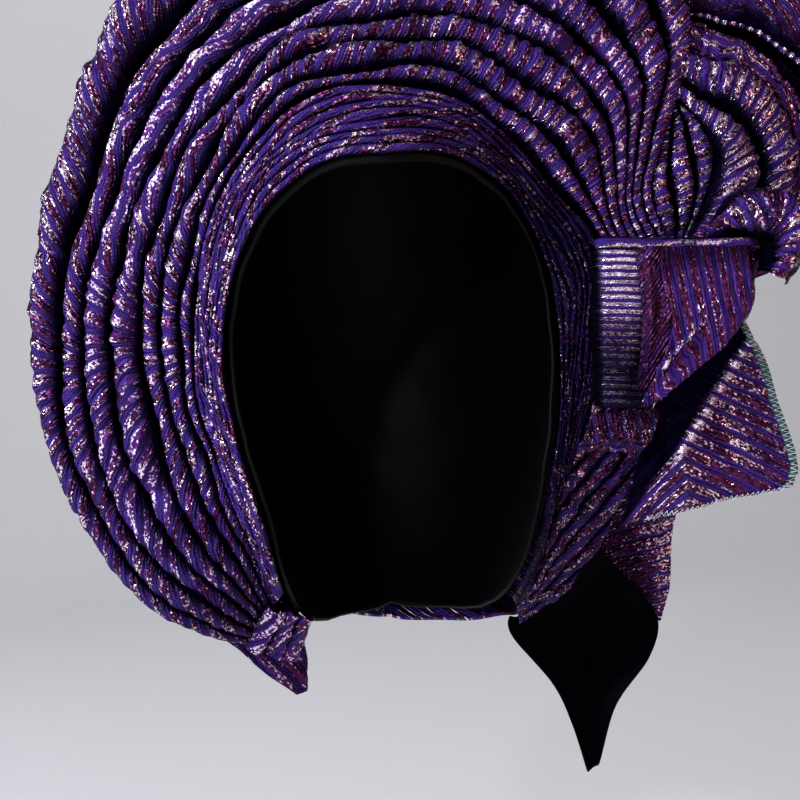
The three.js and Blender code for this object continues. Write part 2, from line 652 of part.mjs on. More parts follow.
// A short fold down the side of the neck that covers the lower ends of the brim's folds
function napeFan(along, share) {
  const turn = brimTo + mix(napeStart, napeSpread, share);
  const low = brimPoint(brimTo, mix(-0.1, 1, along));
  const radius = Math.hypot(low.x, low.z - headCentreZ);
  return polar(turn, radius, low.y + napeBack * share);
}

const plainSheet = (fan, across, along, wall) =>
  clothWall((share, place) => fan(place, share), steps(across), steps(along), wall);

// Materials
const cloth = new THREE.MeshStandardMaterial({ color: 0x3b2396, roughness: 0.55, metalness: 0.15 });
const clothGlint = new THREE.MeshStandardMaterial({ color: 0x5a2e7a, roughness: 0.4, metalness: 0.35 });
const lining = new THREE.MeshStandardMaterial({ color: 0x08080e, roughness: 0.6, metalness: 0 });

const headTie = new THREE.Group();
function add(name, geometry, material) {
  const mesh = new THREE.Mesh(geometry, material);
  mesh.name = name;
  headTie.add(mesh);
}

const brimFan = (along, share) => brimPoint(mix(brimFrom, brimTo, along), share);
const brimPlace = (along) => mix(brimFrom, brimTo, along);
const bandFrom = bandTable[0].at;
const bandTo = bandTable[bandTable.length - 1].at;
const bandFan = (along, share) => {
  const turn = mix(bandFrom, bandTo, along);
  const edge = bandEdge(turn, share);
  return polar(turn, edge.radius, edge.depth);
};
const sideFan = (along, share) => sidePoint(mix(sideFrom, sideTo, along), share);

add("inner_cap_right", capHalf(-90, 90), lining);
add("inner_cap_left", capHalf(90, 270), lining);
add("back_wrap", clothWall(wrapFace, steps(6), steps(36), wrapWall, { ring: true, pole: true }), cloth);
const bandFace = pleatedFace(bandFan, bandPleats, bandPleatRise);
add("face_band", clothWall(bandFace, steps(2 * bandPleats), steps(30), bandWall), clothGlint);
foldsOf(brimFan, brimTable, brimPlace, brimSteps).forEach((geometry, index) =>
  add("brim_fold_" + (index + 1), geometry, index % 2 ? cloth : clothGlint),
);
const sideFace = pleatedFace(sideFan, sidePleats, sidePleatRise);
add("side_wrap", clothWall(sideFace, steps(2 * sidePleats), steps(8), bandWall), cloth);
foldsOf(bowFan, bowCreases, (along) => along, 10).forEach((geometry, index) =>
  add("bow_fold_" + (index + 1), geometry, index % 2 ? clothGlint : cloth),
);
foldsOf(lobeFan, lobeCreases, (along) => along, 4, foldSkirt / 2).forEach((geometry, index) =>
  add("knot_lobe_" + (index + 1), geometry, cloth),
);
add("knot_wrap", clothWall(knotFace, steps(knotSection.length - 1), steps(knotRows.length - 1), knotWall), cloth);
add("rosette", foldSolid(rosetteFan, () => 0, () => 1, 6, foldSkirt / 4), cloth);
add("nape_fold", foldSolid(napeFan, () => 0, () => 1, 5, foldSkirt), cloth);
add("under_flap", plainSheet(underFan, 3, 4, flapWall), clothGlint);
add("corner_flap", plainSheet(cornerFan, 4, 6, flapWall), clothGlint);
add("right_tail", plainSheet(rightTailFan, 3, 5, tailWall), clothGlint);
add("tail_lining", plainSheet(liningFan, 4, 6, tailWall), lining);
add("left_tail", plainSheet(leftTailFan, 3, 4, tailWall), cloth);

export default headTie;
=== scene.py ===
import math

import bmesh
import bpy
import numpy as np
from mathutils import Matrix, Vector


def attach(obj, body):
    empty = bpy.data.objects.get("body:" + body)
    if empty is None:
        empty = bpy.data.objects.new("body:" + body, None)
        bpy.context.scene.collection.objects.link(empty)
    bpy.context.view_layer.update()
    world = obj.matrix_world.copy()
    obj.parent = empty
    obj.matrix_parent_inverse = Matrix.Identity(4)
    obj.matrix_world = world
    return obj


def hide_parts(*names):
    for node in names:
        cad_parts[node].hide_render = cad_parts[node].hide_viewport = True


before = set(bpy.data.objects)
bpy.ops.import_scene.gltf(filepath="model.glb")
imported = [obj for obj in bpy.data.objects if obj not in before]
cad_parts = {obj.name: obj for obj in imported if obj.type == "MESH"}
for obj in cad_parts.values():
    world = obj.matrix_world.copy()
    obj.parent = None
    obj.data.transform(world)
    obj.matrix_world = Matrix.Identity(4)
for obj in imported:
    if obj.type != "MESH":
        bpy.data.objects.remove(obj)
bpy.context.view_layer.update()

# Lengths are in millimetres until a mesh is made, and turns are in degrees about the face opening
MM = 0.001


def rows(names, *lines):
    """A table: one dictionary for each line, with the named columns"""
    return [dict(zip(names.split(), line)) for line in lines]


# Head form and the layers on it
HEAD_HALF_WIDTH = 76
HEAD_HALF_DEPTH = 100
CROWN_REACH = 127
NECK_REACH = 138
HEAD_SET_BACK = 5
CROWN_ROUNDNESS = 2
JAW_ROUNDNESS = 2.1
CAP_WALL = 1.5
WRAP_WALL = 1.6
WRAP_OFFSET = 9
WRAP_PLEAT_RISE = 2.2
WRAP_PLEATS = 12
WRAP_FOOT = 0.34
BAND_WIDTH = 31
BAND_SET_BACK = 16
BAND_WALL = 1.2
BAND_PLEAT_RISE = 2.4
BAND_OVERHANG = 1.5
BAND_SPLIT = 44
BRIM_REACH = 121
BRIM_LEAN = 54
THROAT_WIDTH = 28
FOLD_RISE = 0.55
FOLD_SKIRT = 9
SIDE_WIDTH = 36
SIDE_LEAN = 16
SIDE_PLEAT_RISE = 3
LAYER_GAP = 0.6
FOLD_WALL = 0.8
TURNED_WALL = 0.6
LINING_WALL = 1.2

RIM = rows(
    "at depth",
    (-90, 0.52), (-79, 0.4), (-71, 0.12), (-64, -0.14), (-56, -0.34), (-44, -0.46), (-20, -0.44),
    (0, -0.42), (25, -0.42), (46, -0.55), (65, -0.7), (90, -0.8), (115, -0.7), (135, -0.57),
    (160, -0.46), (180, -0.42), (205, -0.45), (228, -0.46), (238, -0.34), (245, -0.14), (251, 0.12),
    (259, 0.4), (270, 0.52),
)
BAND = rows(
    "at width set_back",
    (-66, 0.16, 0.5), (-46, 0.2, 0.5), (-30, 0.32, 0.1), (-12, 0.45, -0.4), (3, 0.58, -0.7),
    (16, 0.72, -1.0), (28, 0.65, -0.9), (36, 0.55, -0.7), (44, 0.48, -0.4), (57, 0.58, 0.2),
    (75, 0.85, 0.75), (95, 1, 1), (120, 0.75, 0.75), (142, 0.52, 0.8), (160, 0.42, 0.7),
    (175, 0.36, 0.6), (191, 0.38, 0.75), (206, 0.32, 0.9), (223, 0.3, 1), (242, 0.22, 1),
)
BRIM = rows(
    "at throat reach lean creases",
    (14, 1, 0, 0.02, (0.14, 0.28, 0.43, 0.57, 0.71, 0.86)),
    (28, 0.5, 0.14, 0.07, (0.13, 0.27, 0.42, 0.55, 0.68, 0.83)),
    (36, 0, 0.5, 0.26, (0.12, 0.26, 0.4, 0.52, 0.64, 0.8)),
    (44, 0, 0.84, 0.5, (0.1, 0.24, 0.38, 0.5, 0.62, 0.82)),
    (57, 0, 1, 0.85, (0.08, 0.2, 0.33, 0.46, 0.6, 0.8)),
    (75, 0, 0.87, 1, (0.07, 0.19, 0.31, 0.44, 0.6, 0.8)),
    (95, 0, 0.74, 1, (0.06, 0.18, 0.3, 0.42, 0.6, 0.8)),
    (120, 0, 0.72, 0.83, (0.05, 0.14, 0.24, 0.36, 0.51, 0.7)),
    (142, 0, 0.62, 0.65, (0.05, 0.16, 0.28, 0.42, 0.57, 0.73)),
    (160, 0, 0.6, 0.61, (0.07, 0.19, 0.31, 0.47, 0.64, 0.78)),
    (175, 0, 0.587, 0.61, (0.06, 0.18, 0.3, 0.47, 0.65, 0.8)),
    (191, 0, 0.57, 0.59, (0.06, 0.16, 0.27, 0.5, 0.68, 0.84)),
    (206, 0, 0.545, 0.61, (0.06, 0.17, 0.32, 0.51, 0.7, 0.87)),
    (223, 0, 0.47, 0.44, (0.07, 0.19, 0.34, 0.51, 0.69, 0.86)),
    (233, 0, 0.34, 0.3, (0.08, 0.21, 0.35, 0.51, 0.68, 0.85)),
    (242, 0, 0.17, 0.2, (0.1, 0.24, 0.38, 0.53, 0.68, 0.84)),
)
SIDE = rows(
    "at width lean",
    (-66, 0.26, 1), (-57, 0.58, 1), (-46, 0.82, 1), (-34, 0.78, 0.3), (-18, 0.75, 0.1), (-6, 0.6, 0),
)
WRAP_MIDDLE = rows(
    "at depth",
    (-90, 0.72), (-66, 0.5), (-40, 0.3), (0, 0.25), (90, 0.25), (180, 0.25), (220, 0.35), (246, 0.55),
    (270, 0.72),
)

# Knot, bow, lobes and rosette
KNOT_WIDTH = 69
KNOT_HEIGHT = 69
KNOT_DEPTH = 21
KNOT_TURN = 26
KNOT_ON_BAND = 0.62
KNOT_TILT = 0.07
KNOT_LEFT_IN = 0.09
BOW_REACH = 155
BOW_RISE = 143
BOW_DEPTH = 48
BOW_INNER_TURN = 37.5
BOW_OUTER_TURN = 52
BOW_HOLD = 0.2
LOBE_TURN = 17
BOW = rows(
    "at in_across in_up in_back out_across out_up out_back",
    (0.2, 0.38, 0.35, 0.62, 0.68, 1, 1.35),
    (0.4, 0.4, 0.27, 0.55, 0.9, 0.8, 1.25),
    (0.6, 0.39, 0.19, 0.48, 1, 0.5, 1.12),
    (0.8, 0.35, 0.1, 0.42, 0.93, 0.18, 0.9),
    (0.9, 0.33, 0.06, 0.4, 0.74, -0.04, 0.68),
    (1, 0.31, 0.02, 0.37, 0.47, -0.14, 0.42),
)
BOW_CREASES = rows(
    "at creases",
    (0, (0.085, 0.25, 0.39, 0.5)),
    (0.2, (0.1, 0.3, 0.4, 0.5)),
    (0.5, (0.2, 0.4, 0.46, 0.6)),
    (0.8, (0.28, 0.5, 0.57, 0.68)),
    (1, (0.3, 0.52, 0.63, 0.75)),
)
LOBE_CREASES = rows("at creases", (0, (0.42, 0.82)), (0.5, (0.3, 0.68)), (1, (0.3, 0.66)))
KNOT_ROWS = rows(
    "at left right forward",
    (0, 0.01, 0.98, 0.9), (0.02, 0, 1, 1), (0.1, 0, 1, 0.98), (0.26, 0, 1, 0.97), (0.43, 0, 0.97, 0.97),
    (0.7, 0, 0.76, 0.95), (0.92, 0, 0.56, 0.92), (1, 0.02, 0.44, 0.8), (1.01, 0.05, 0.4, 0.55),
)
KNOT_SECTION = rows(
    "at forward",
    (-0.06, 0), (0, 0.8), (0.06, 0.96), (0.25, 1.03), (0.45, 0.96), (0.8, 1), (0.96, 0.95), (1, 0.75),
)
ROSETTE = rows(
    "at in_across in_up in_back out_across out_up out_back",
    (0, 0.73, -0.03, 0.02, 0.77, 0.04, 0.12),
    (0.3, 0.93, -0.04, 0.02, 0.97, 0.26, 0.12),
    (0.6, 1.07, -0.05, 0.02, 1.33, 0.16, 0.12),
    (0.85, 1.08, -0.15, 0.02, 1.34, -0.18, 0.12),
    (1, 1.06, -0.24, 0.02, 1.22, -0.33, 0.12),
)

# Flaps and tails
FLAP_WIDTH = 87
FLAP_DROP = 121
TAIL_WIDTH = 70
TAIL_DROP = 135
TAIL_TURN = -38
TAIL_PLACE = 0.17
LEFT_TAIL_WIDTH = 48
LEFT_TAIL_DROP = 55
LEFT_TAIL_INSET = 4
LINING_TURNS = (-67, -46)
LEFT_TAIL_TURNS = (231, 246)
HANG_HOLD = 0.4
FLAP_CREASE = (40, -100)
NAPE_BACK = 8
EDGES = "at in_across in_up in_back out_across out_up out_back"
UNDER_FLAP = rows(
    EDGES,
    (0, -0.01, -1.05, 0.55, 0.4, -1.04, 0.5),
    (0.4, -0.06, -1.14, 0.5, 0.37, -1.16, 0.45),
    (0.8, -0.12, -1.24, 0.6, 0.31, -1.27, 0.52),
    (1, -0.11, -1.25, 0.8, 0.3, -1.28, 0.75),
)
CORNER_FLAP = rows(
    EDGES,
    (0, 0.58, -0.22, 0.2, 0.71, -0.24, 0.24),
    (0.2, 0.5, -0.4, 0.95, 0.87, -0.44, 0.62),
    (0.4, 0.34, -0.57, 0.98, 0.92, -0.6, 0.58),
    (0.6, 0.25, -0.72, 1.02, 0.98, -0.75, 0.6),
    (0.8, 0.2, -0.84, 1.15, 1, -0.85, 0.72),
    (1, 0.14, -1, 1.5, 0.95, -0.91, 0.9),
)
RIGHT_TAIL = rows(
    EDGES,
    (0, 0.01, 0.1, 0.09, 0.64, 0.09, -0.05),
    (0.3, 0.02, -0.08, 0.035, 0.7, -0.06, -0.04),
    (0.6, 0.1, -0.18, 0.05, 0.65, -0.21, 0.02),
    (0.85, 0.31, -0.34, 0.06, 0.62, -0.38, 0.05),
    (1, 0.5, -0.48, 0.09, 0.55, -0.5, 0.08),
)
TAIL_LINING = rows(
    EDGES,
    (0, -0.62, -0.42, 0.26, -0.06, -0.2, 0.13),
    (0.25, -0.47, -0.51, 0.24, 0.33, -0.36, -0.08),
    (0.45, -0.31, -0.61, 0.2, 0.5, -0.48, -0.05),
    (0.65, -0.18, -0.71, 0.14, 0.44, -0.61, -0.01),
    (0.85, -0.09, -0.84, 0.1, 0.19, -0.77, 0.02),
    (1, -0.01, -1, 0.08, 0.05, -0.97, 0.05),
)
LEFT_TAIL = rows(
    EDGES,
    (0, -0.4, 0.25, 0.1, 0.52, 0.35, 0.26),
    (0.4, 0.05, -0.14, 0.16, 0.68, -0.13, 0.28),
    (0.75, 0.31, -0.37, 0.22, 0.69, -0.34, 0.34),
    (1, 0.57, -0.57, 0.26, 0.68, -0.55, 0.32),
)

# Woven stripes: one period across, and how they lie on each roll, in degrees from the roll's own run
STRIPE = 6.4
BRIM_STRIPES = (
    rows("at angle", (14, 88), (70, 70), (100, 40), (150, 44), (170, 70), (186, 130), (246, 140)),
    rows("at angle", (14, 92), (60, 84), (90, 60), (120, 35), (150, 40), (172, 86), (186, 134), (246, 143)),
    rows("at angle", (14, 92), (60, 84), (90, 56), (115, 20), (140, 14), (165, 46), (186, 132), (246, 143)),
    rows("at angle", (14, 92), (60, 84), (85, 56), (105, 24), (130, 14), (160, 34), (186, 132), (246, 143)),
    rows("at angle", (14, 92), (60, 84), (80, 50), (100, 6), (125, -12), (150, 10), (186, 132), (246, 143)),
    rows(
        "at angle",
        (14, 92), (60, 82), (80, 50), (100, 4), (125, -10), (150, 18), (170, 40), (186, 128), (246, 143),
    ),
    rows(
        "at angle",
        (14, 92), (60, 80), (85, 62), (110, 56), (145, 52), (162, 36), (176, 70), (188, 134), (246, 143),
    ),
)

# Rolled cloth: the share of a roll's width that turns back at each side, how far a roll stays clear of its
# creases, its woven ribs and tucks, how its stripes and creases wander, and the painted glints along its
# crest
ROLL_TURN = 0.14
ROLL_NARROW = 0.19
ROLL_RIB = 0.3
ROLL_PUCKER = 1.5
STRIPE_SWAY = 2.2
BRIM_SWAY = 0.019
BOW_SWAY = 0.008
CREST_WIDTH = 0.12
CREST_GLINT = 0.55

# Rolls of the brim and the bow from the face outwards, the bow's beaded edges, and the folds at the nape:
# their finishes, forms and creases, and how many steps their grids have along and round each roll
BRIM_NARROW = 0.12
BRIM_STEPS = 450
BRIM_STEPS_MORE = 40
BRIM_ROLLS = rows(
    "finish round_steps",
    ("fine", 18), ("cloth", 28), ("cloth", 30), ("satin", 34), ("satin", 38), ("cloth", 40), ("cloth", 48),
)
BOW_ROLLS = rows(
    "finish rise lift narrow first_angle last_angle steps round_steps",
    ("bow", 0.6, 0, 0.16, 86, 74, 210, 32),
    ("bow", 0.52, 1, 0.12, 84, 66, 240, 48),
    ("plain", 0.3, 4, -0.45, 12, 6, 210, 26),
    ("maroon", -0.1, -6, -0.5, 10, 6, 200, 26),
    ("plain", 0.16, 2, 0.0, 14, 4, 280, 84),
)
BEAD_EDGES = rows("crease seed lift finish", (3, 75, 1.5, "bright"), (2, 76, 5, "bronze"))
NAPE_ROLLS = rows("first last deep", (-3.5, 1.2, -3.5), (0.8, 4.2, -1), (3.8, 7.5, 2))


def smooth(table, column, at, pick=None):
    """A column's value at places along a table, on a smooth curve through its rows"""
    places = np.array([row["at"] for row in table], float)
    values = np.array([row[column] if pick is None else row[column][pick] for row in table], float)
    last = len(table) - 1
    before = np.maximum(np.arange(last + 1) - 1, 0)
    after = np.minimum(np.arange(last + 1) + 1, last)
    slopes = (values[after] - values[before]) / (places[after] - places[before])
    at = np.clip(np.asarray(at, float), places[0], places[-1])
    row = np.clip(np.searchsorted(places, at) - 1, 0, last - 1)
    span = places[row + 1] - places[row]
    t = (at - places[row]) / span
    start = (1 + 2 * t) * (1 - t) ** 2
    end = t * t * (3 - 2 * t)
    start_slope = t * (1 - t) ** 2 * span
    end_slope = t * t * (t - 1) * span
    by_values = start * values[row] + end * values[row + 1]
    return by_values + start_slope * slopes[row] + end_slope * slopes[row + 1]


def mix(low, high, share):
    return low + (high - low) * share


def blend(low, high, at):
    """0 below low, 1 above high and a soft step between"""
    t = np.clip((at - low) / (high - low), 0, 1)
    return t * t * (3 - 2 * t)


def hill(at, width):
    """1 where at is 0, falling softly to 0 on both sides"""
    return np.exp(-((at / width) ** 2))


def steady(value):
    """The same value all along a piece"""
    return lambda at: value + 0 * at


def lattice(steps, across_steps, along=(0, 1), across=(0, 1)):
    """A grid of places along and across a piece"""
    return np.meshgrid(np.linspace(*along, steps + 1), np.linspace(*across, across_steps + 1), indexing="ij")


def order_chance(order, seed):
    """A share between 0 and 1 that stays the same for each whole number"""
    return np.modf(np.abs(np.sin(order * 12.9898 + seed) * 43758.5453))[0]


def unit(vectors):
    return vectors / np.maximum(np.linalg.norm(vectors, axis=-1, keepdims=True), 1e-9)


def place(x, y, z):
    return np.stack(np.broadcast_arrays(x, y, z), -1).astype(float)


def sway(seed, size, *ways):
    """Soft seeded waviness between about -1 and 1, with features of the given size along each way"""
    chance = np.random.default_rng(seed)
    total = 0
    for _ in range(6):
        phase = chance.uniform(0, 2 * math.pi)
        for way in ways:
            phase = phase + way * chance.uniform(0.5, 1.6) * chance.choice((-1, 1)) * 2 * math.pi / size
        total = total + np.sin(phase)
    return total / 3.2


# Shapes shared with the solids
def polar(turn, radius, depth):
    angle = np.radians(turn)
    return place(radius * np.cos(angle), depth, radius * np.sin(angle) - CROWN_REACH)


def head_reach(turn):
    across = np.abs(np.cos(np.radians(turn)))
    up = np.sin(np.radians(turn))
    roundness = np.where(up < 0, JAW_ROUNDNESS, CROWN_ROUNDNESS)
    height = np.where(up < 0, NECK_REACH, CROWN_REACH)
    return ((across / HEAD_HALF_WIDTH) ** roundness + (np.abs(up) / height) ** roundness) ** (-1 / roundness)


def head_radius(turn, depth):
    share = np.clip((depth - HEAD_SET_BACK) / HEAD_HALF_DEPTH, -1, 1)
    return head_reach(turn) * np.sqrt(1 - share * share)


def rim_depth(turn):
    return HEAD_SET_BACK + HEAD_HALF_DEPTH * smooth(RIM, "depth", turn)


def band_edge(turn, share):
    clear = CAP_WALL + BAND_WALL + 2.4 * LAYER_GAP
    inner = head_radius(turn, rim_depth(turn)) + clear
    width = BAND_WIDTH * smooth(BAND, "width", turn)
    set_back = BAND_SET_BACK * smooth(BAND, "set_back", turn)
    depth = rim_depth(turn) - BAND_OVERHANG
    outer = np.maximum(inner + width, head_radius(turn, depth + set_back + FOLD_SKIRT) + clear)
    return mix(inner, outer, share), depth + set_back * share


def band_point(turn, share):
    radius, depth = band_edge(turn, share)
    return polar(turn, radius, depth)


def fan_edge(turn, share, width, lean):
    radius, depth = band_edge(turn, 1)
    return polar(turn, radius + 2 * LAYER_GAP + width * share, depth + lean * share)


def brim_point(turn, share):
    width = THROAT_WIDTH * smooth(BRIM, "throat", turn) + BRIM_REACH * smooth(BRIM, "reach", turn)
    return fan_edge(turn, share, width, BRIM_LEAN * smooth(BRIM, "lean", turn))


def side_point(turn, share):
    width = SIDE_WIDTH * smooth(SIDE, "width", turn)
    return fan_edge(turn, share, width, SIDE_LEAN * smooth(SIDE, "lean", turn))


HEAD_CENTRE = (0, HEAD_SET_BACK, -CROWN_REACH)
BRIM_FROM, BRIM_TO = BRIM[0]["at"], BRIM[-1]["at"]
SIDE_FROM, SIDE_TO = SIDE[0]["at"], SIDE[-1]["at"]


def wrap_edge(turn):
    """Front edge of the cloth round the back, behind the brim, the side pleats and across the nape"""
    turn = np.asarray(turn, float)
    at = np.where(turn > BRIM_TO, turn - 360, turn)
    between = (at - SIDE_TO) / (BRIM_FROM - SIDE_TO)
    throat = mix(side_point(SIDE_TO, 1), brim_point(BRIM_FROM, 1), between[..., None])
    share = (at - BRIM_TO + 360) / (SIDE_FROM - BRIM_TO + 360)
    ends = mix(brim_point(BRIM_TO, 1), side_point(SIDE_FROM, 1), share[..., None])
    nape = polar(at, head_radius(at, rim_depth(at)) + WRAP_OFFSET, rim_depth(at))
    under = mix(ends, nape, np.sin(np.clip(share, 0, 1) * math.pi)[..., None])
    choices = [brim_point(at, 1), throat, side_point(at, 1)]
    tests = [at >= BRIM_FROM, at >= SIDE_TO, at >= SIDE_FROM]
    edge = np.select([test[..., None] for test in tests], choices, under)
    return edge + np.array([0, FOLD_SKIRT + 3 * LAYER_GAP + WRAP_WALL, 0])


def wrap_smooth(across, along):
    turn = mix(-90, 270, np.asarray(along, float))
    middle = np.arcsin(smooth(WRAP_MIDDLE, "depth", turn))

    def on_dome(angle):
        return polar(
            turn,
            (head_reach(turn) + WRAP_OFFSET) * np.cos(angle),
            HEAD_SET_BACK + (HEAD_HALF_DEPTH + WRAP_OFFSET) * np.sin(angle),
        )

    near = mix(wrap_edge(turn), on_dome(middle), np.clip(across / WRAP_FOOT, 0, 1)[..., None])
    rest = np.clip((across - WRAP_FOOT) / (1 - WRAP_FOOT), 0, 1)
    return np.where((across < WRAP_FOOT)[..., None], near, on_dome(mix(middle, math.pi / 2, rest)))


def knot_corner():
    radius, depth = band_edge(KNOT_TURN, KNOT_ON_BAND)
    corner = polar(KNOT_TURN, radius, depth)
    corner[1] -= BAND_PLEAT_RISE + 1.5 * LAYER_GAP
    return corner


KNOT_CORNER = knot_corner()
KNOT_FRONT = KNOT_CORNER[1] - KNOT_DEPTH


def from_knot(across, up, back):
    return place(KNOT_CORNER[0] + across, KNOT_FRONT + back, KNOT_CORNER[2] + up)


def two_edges(table, along, share):
    def between(name):
        return mix(smooth(table, "in_" + name, along), smooth(table, "out_" + name, along), share)

    return between("across"), between("up"), between("back")


def edge_fan(table, width, height, depth):
    def fan(along, share):
        across, up, back = two_edges(table, along, share)
        return from_knot(width * across, height * up, depth * back)

    return fan


def bow_start():
    away = 3 * LAYER_GAP * unit(np.array([1, 0, -0.3]))
    ends = (brim_point(BOW_INNER_TURN, 1) + away, brim_point(BOW_OUTER_TURN, 1) + away)
    line = [0]
    for point in ends:
        line += [
            (point[0] - KNOT_CORNER[0]) / BOW_REACH,
            (point[2] - KNOT_CORNER[2]) / BOW_RISE,
            (point[1] - KNOT_FRONT) / BOW_DEPTH,
        ]
    return rows(EDGES, line)


BOW_EDGES = edge_fan(bow_start() + BOW, BOW_REACH, BOW_RISE, BOW_DEPTH)


def bow_point(along, share):
    along, share = np.broadcast_arrays(np.asarray(along, float), np.asarray(share, float))
    on_brim = brim_point(mix(BOW_INNER_TURN, BOW_OUTER_TURN, share), 1) + np.array([3 * LAYER_GAP, 0, 0])
    hold = np.clip(1 - np.clip(along, 0, 1) / BOW_HOLD, 0, 1) ** 2
    return BOW_EDGES(along, share) + (on_brim - BOW_EDGES(np.zeros_like(along), share)) * hold[..., None]


def tail_start():
    point = wrap_smooth(np.array(TAIL_PLACE), np.array((TAIL_TURN + 90) / 360))
    return point + np.array([0, WRAP_PLEAT_RISE + 2 * LAYER_GAP + WRAP_WALL, 0])


def left_tail_start():
    point = wrap_smooth(np.array(0.0), np.array((BRIM_TO - LEFT_TAIL_INSET + 90) / 360))
    return point + np.array([0, WRAP_PLEAT_RISE + LAYER_GAP + WRAP_WALL, 0])


def tail_fan(table, width, drop, start):
    def fan(along, share):
        across, up, back = two_edges(table, along, share)
        return start + place(width * across, width * back, drop * up)

    return fan


def hung_from(fan, turns):
    """A tail whose top edge follows the edge of the cloth round the back between two turns"""

    def hung(along, share):
        along, share = np.broadcast_arrays(np.asarray(along, float), np.asarray(share, float))
        turn = mix(turns[0], turns[1], share)
        outward = polar(turn, 1.5 * LAYER_GAP, 0) - polar(turn, 0, 0)
        shift = wrap_edge(turn) + outward - fan(np.zeros_like(along), share)
        hold = np.clip(1 - np.maximum(along, 0) / HANG_HOLD, 0, 1) ** 2
        return fan(along, share) + shift * hold[..., None]

    return hung


# Cloth on those shapes
def facing(fan, along, share):
    step = 0.004
    along_way = fan(along + step, share) - fan(along - step, share)
    across_way = fan(along, share + step) - fan(along, share - step)
    normal = unit(np.cross(across_way, along_way))
    return normal * np.where(normal[..., 1:2] > 0, -1, 1), unit(along_way)


def surface_way(points):
    """Normals of a grid of points, turned toward the front"""
    normal = unit(np.cross(np.gradient(points, axis=0), np.gradient(points, axis=1)))
    return normal if normal[..., 1].mean() < 0 else -normal


def raised(points, height):
    """Cloth lifted off its own surface"""
    return points + surface_way(points) * height[..., None]


def lengths(points):
    """Distances along the grid's middle column, and round each of its rows from that column"""
    middle = points.shape[1] // 2
    along = np.linalg.norm(np.diff(points[:, middle], axis=0), axis=-1)
    along = np.concatenate([[0], np.cumsum(along)])[:, None]
    around = np.linalg.norm(np.diff(points, axis=1), axis=-1)
    around = np.concatenate([np.zeros((len(points), 1)), np.cumsum(around, axis=1)], axis=1)
    return along, around - around[:, middle : middle + 1]


def stripe_map(points, angle, start=0):
    """Places across and along the stripes on a grid of cloth, for stripes at an angle to its columns"""
    along, around = lengths(points)
    angle = np.radians(np.broadcast_to(np.asarray(angle, float).reshape(-1, 1), along.shape))
    steps = np.diff(along, axis=0)
    middle = (angle[1:] + angle[:-1]) / 2
    zero = np.zeros((1, 1))
    across = np.concatenate([zero, np.cumsum(np.sin(middle) * steps, axis=0)])
    length = -np.concatenate([zero, np.cumsum(np.cos(middle) * steps, axis=0)])
    return across + around * np.cos(angle) + start, length + around * np.sin(angle)


def puckers(across, length, seed, rib=0.34, pucker=0.5):
    """Height of the woven ribs, and of the rope-like tucks that follow the stripes"""
    phase = across / STRIPE + 0.12 * sway(seed + 14, 30, length, across * 0.3)
    order = np.floor(phase)
    uneven = 0.55 + 0.9 * order_chance(order, seed)
    ridge = np.abs(np.sin(math.pi * phase)) ** 0.8
    fine = np.abs(np.sin(2 * math.pi * phase + 0.8)) ** 0.8
    twist = 1 + 0.5 * sway(seed + 12, 34, length, across * 0.4)
    beads = sway(seed + 13, 6.5, length, across * 0.6)
    return pucker * ridge * uneven * twist + rib * fine + 0.16 * pucker * beads


def grid_mesh(name, points):
    """A mesh over a grid of points in millimetres, and each of its vertices' row and column in that grid"""
    count_along, count_around = points.shape[:2]
    shape = bmesh.new()
    shape.loops.layers.uv.new("stripes")
    bmesh.ops.create_grid(shape, x_segments=count_around - 1, y_segments=count_along - 1, size=0.5)
    mesh = bpy.data.meshes.new(name)
    shape.to_mesh(mesh)
    shape.free()
    flat = np.zeros(len(mesh.vertices) * 3)
    mesh.vertices.foreach_get("co", flat)
    flat = flat.reshape(-1, 3)
    line = np.rint((flat[:, 1] + 0.5) * (count_along - 1)).astype(int)
    column = np.rint((flat[:, 0] + 0.5) * (count_around - 1)).astype(int)
    mesh.vertices.foreach_set("co", (points[line, column] * MM).ravel())
    return mesh, (line, column)


def face_outward(mesh, closed, away):
    """Turns the faces to the front, or away from a point, and joins the seam of a closed piece"""
    shape = bmesh.new()
    shape.from_mesh(mesh)
    if closed:
        bmesh.ops.remove_doubles(shape, verts=shape.verts, dist=0.00002)
    shape.normal_update()
    outward = 0
    for face in shape.faces:
        toward = Vector((0, -1, 0)) if away is None else face.calc_center_median() - Vector(away) * MM
        outward += face.normal.dot(toward) * face.calc_area()
    if outward < 0:
        bmesh.ops.reverse_faces(shape, faces=shape.faces)
    shape.to_mesh(mesh)
    shape.free()
    mesh.polygons.foreach_set("use_smooth", np.ones(len(mesh.polygons), bool))


def cloth(
    name, points, stripes, stands_for=(), wall=0.0, shade=None, closed=False, finish="cloth", away=None
):
    """A piece of cloth from a grid of points in millimetres, with its stripes as the UV map and its painted
    shade and glints as a point attribute
    """
    mesh, spots = grid_mesh(name, points)
    corner = np.zeros(len(mesh.loops), int)
    mesh.loops.foreach_get("vertex_index", corner)
    across, length = (np.broadcast_to(part, points.shape[:2]) for part in stripes)
    uv = np.stack([across[spots][corner], length[spots][corner]], -1) * MM
    mesh.uv_layers["stripes"].data.foreach_set("uv", uv.ravel())
    # Painted light for the material: below 1 is painted shade, above 1 adds painted glints
    light = np.broadcast_to(1.0 if shade is None else shade, points.shape[:2])
    layer = mesh.attributes.new("open_share", "FLOAT", "POINT")
    layer.data.foreach_set("value", light[spots].astype(np.float32))
    face_outward(mesh, closed, away)
    mesh.materials.append(FINISHES[finish])
    piece = bpy.data.objects.new(name, mesh)
    bpy.context.scene.collection.objects.link(piece)
    if wall:
        solid = piece.modifiers.new("wall", "SOLIDIFY")
        solid.thickness = wall * MM
        solid.offset = -1
    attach(piece, "root")
    if stands_for:
        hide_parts(*stands_for)


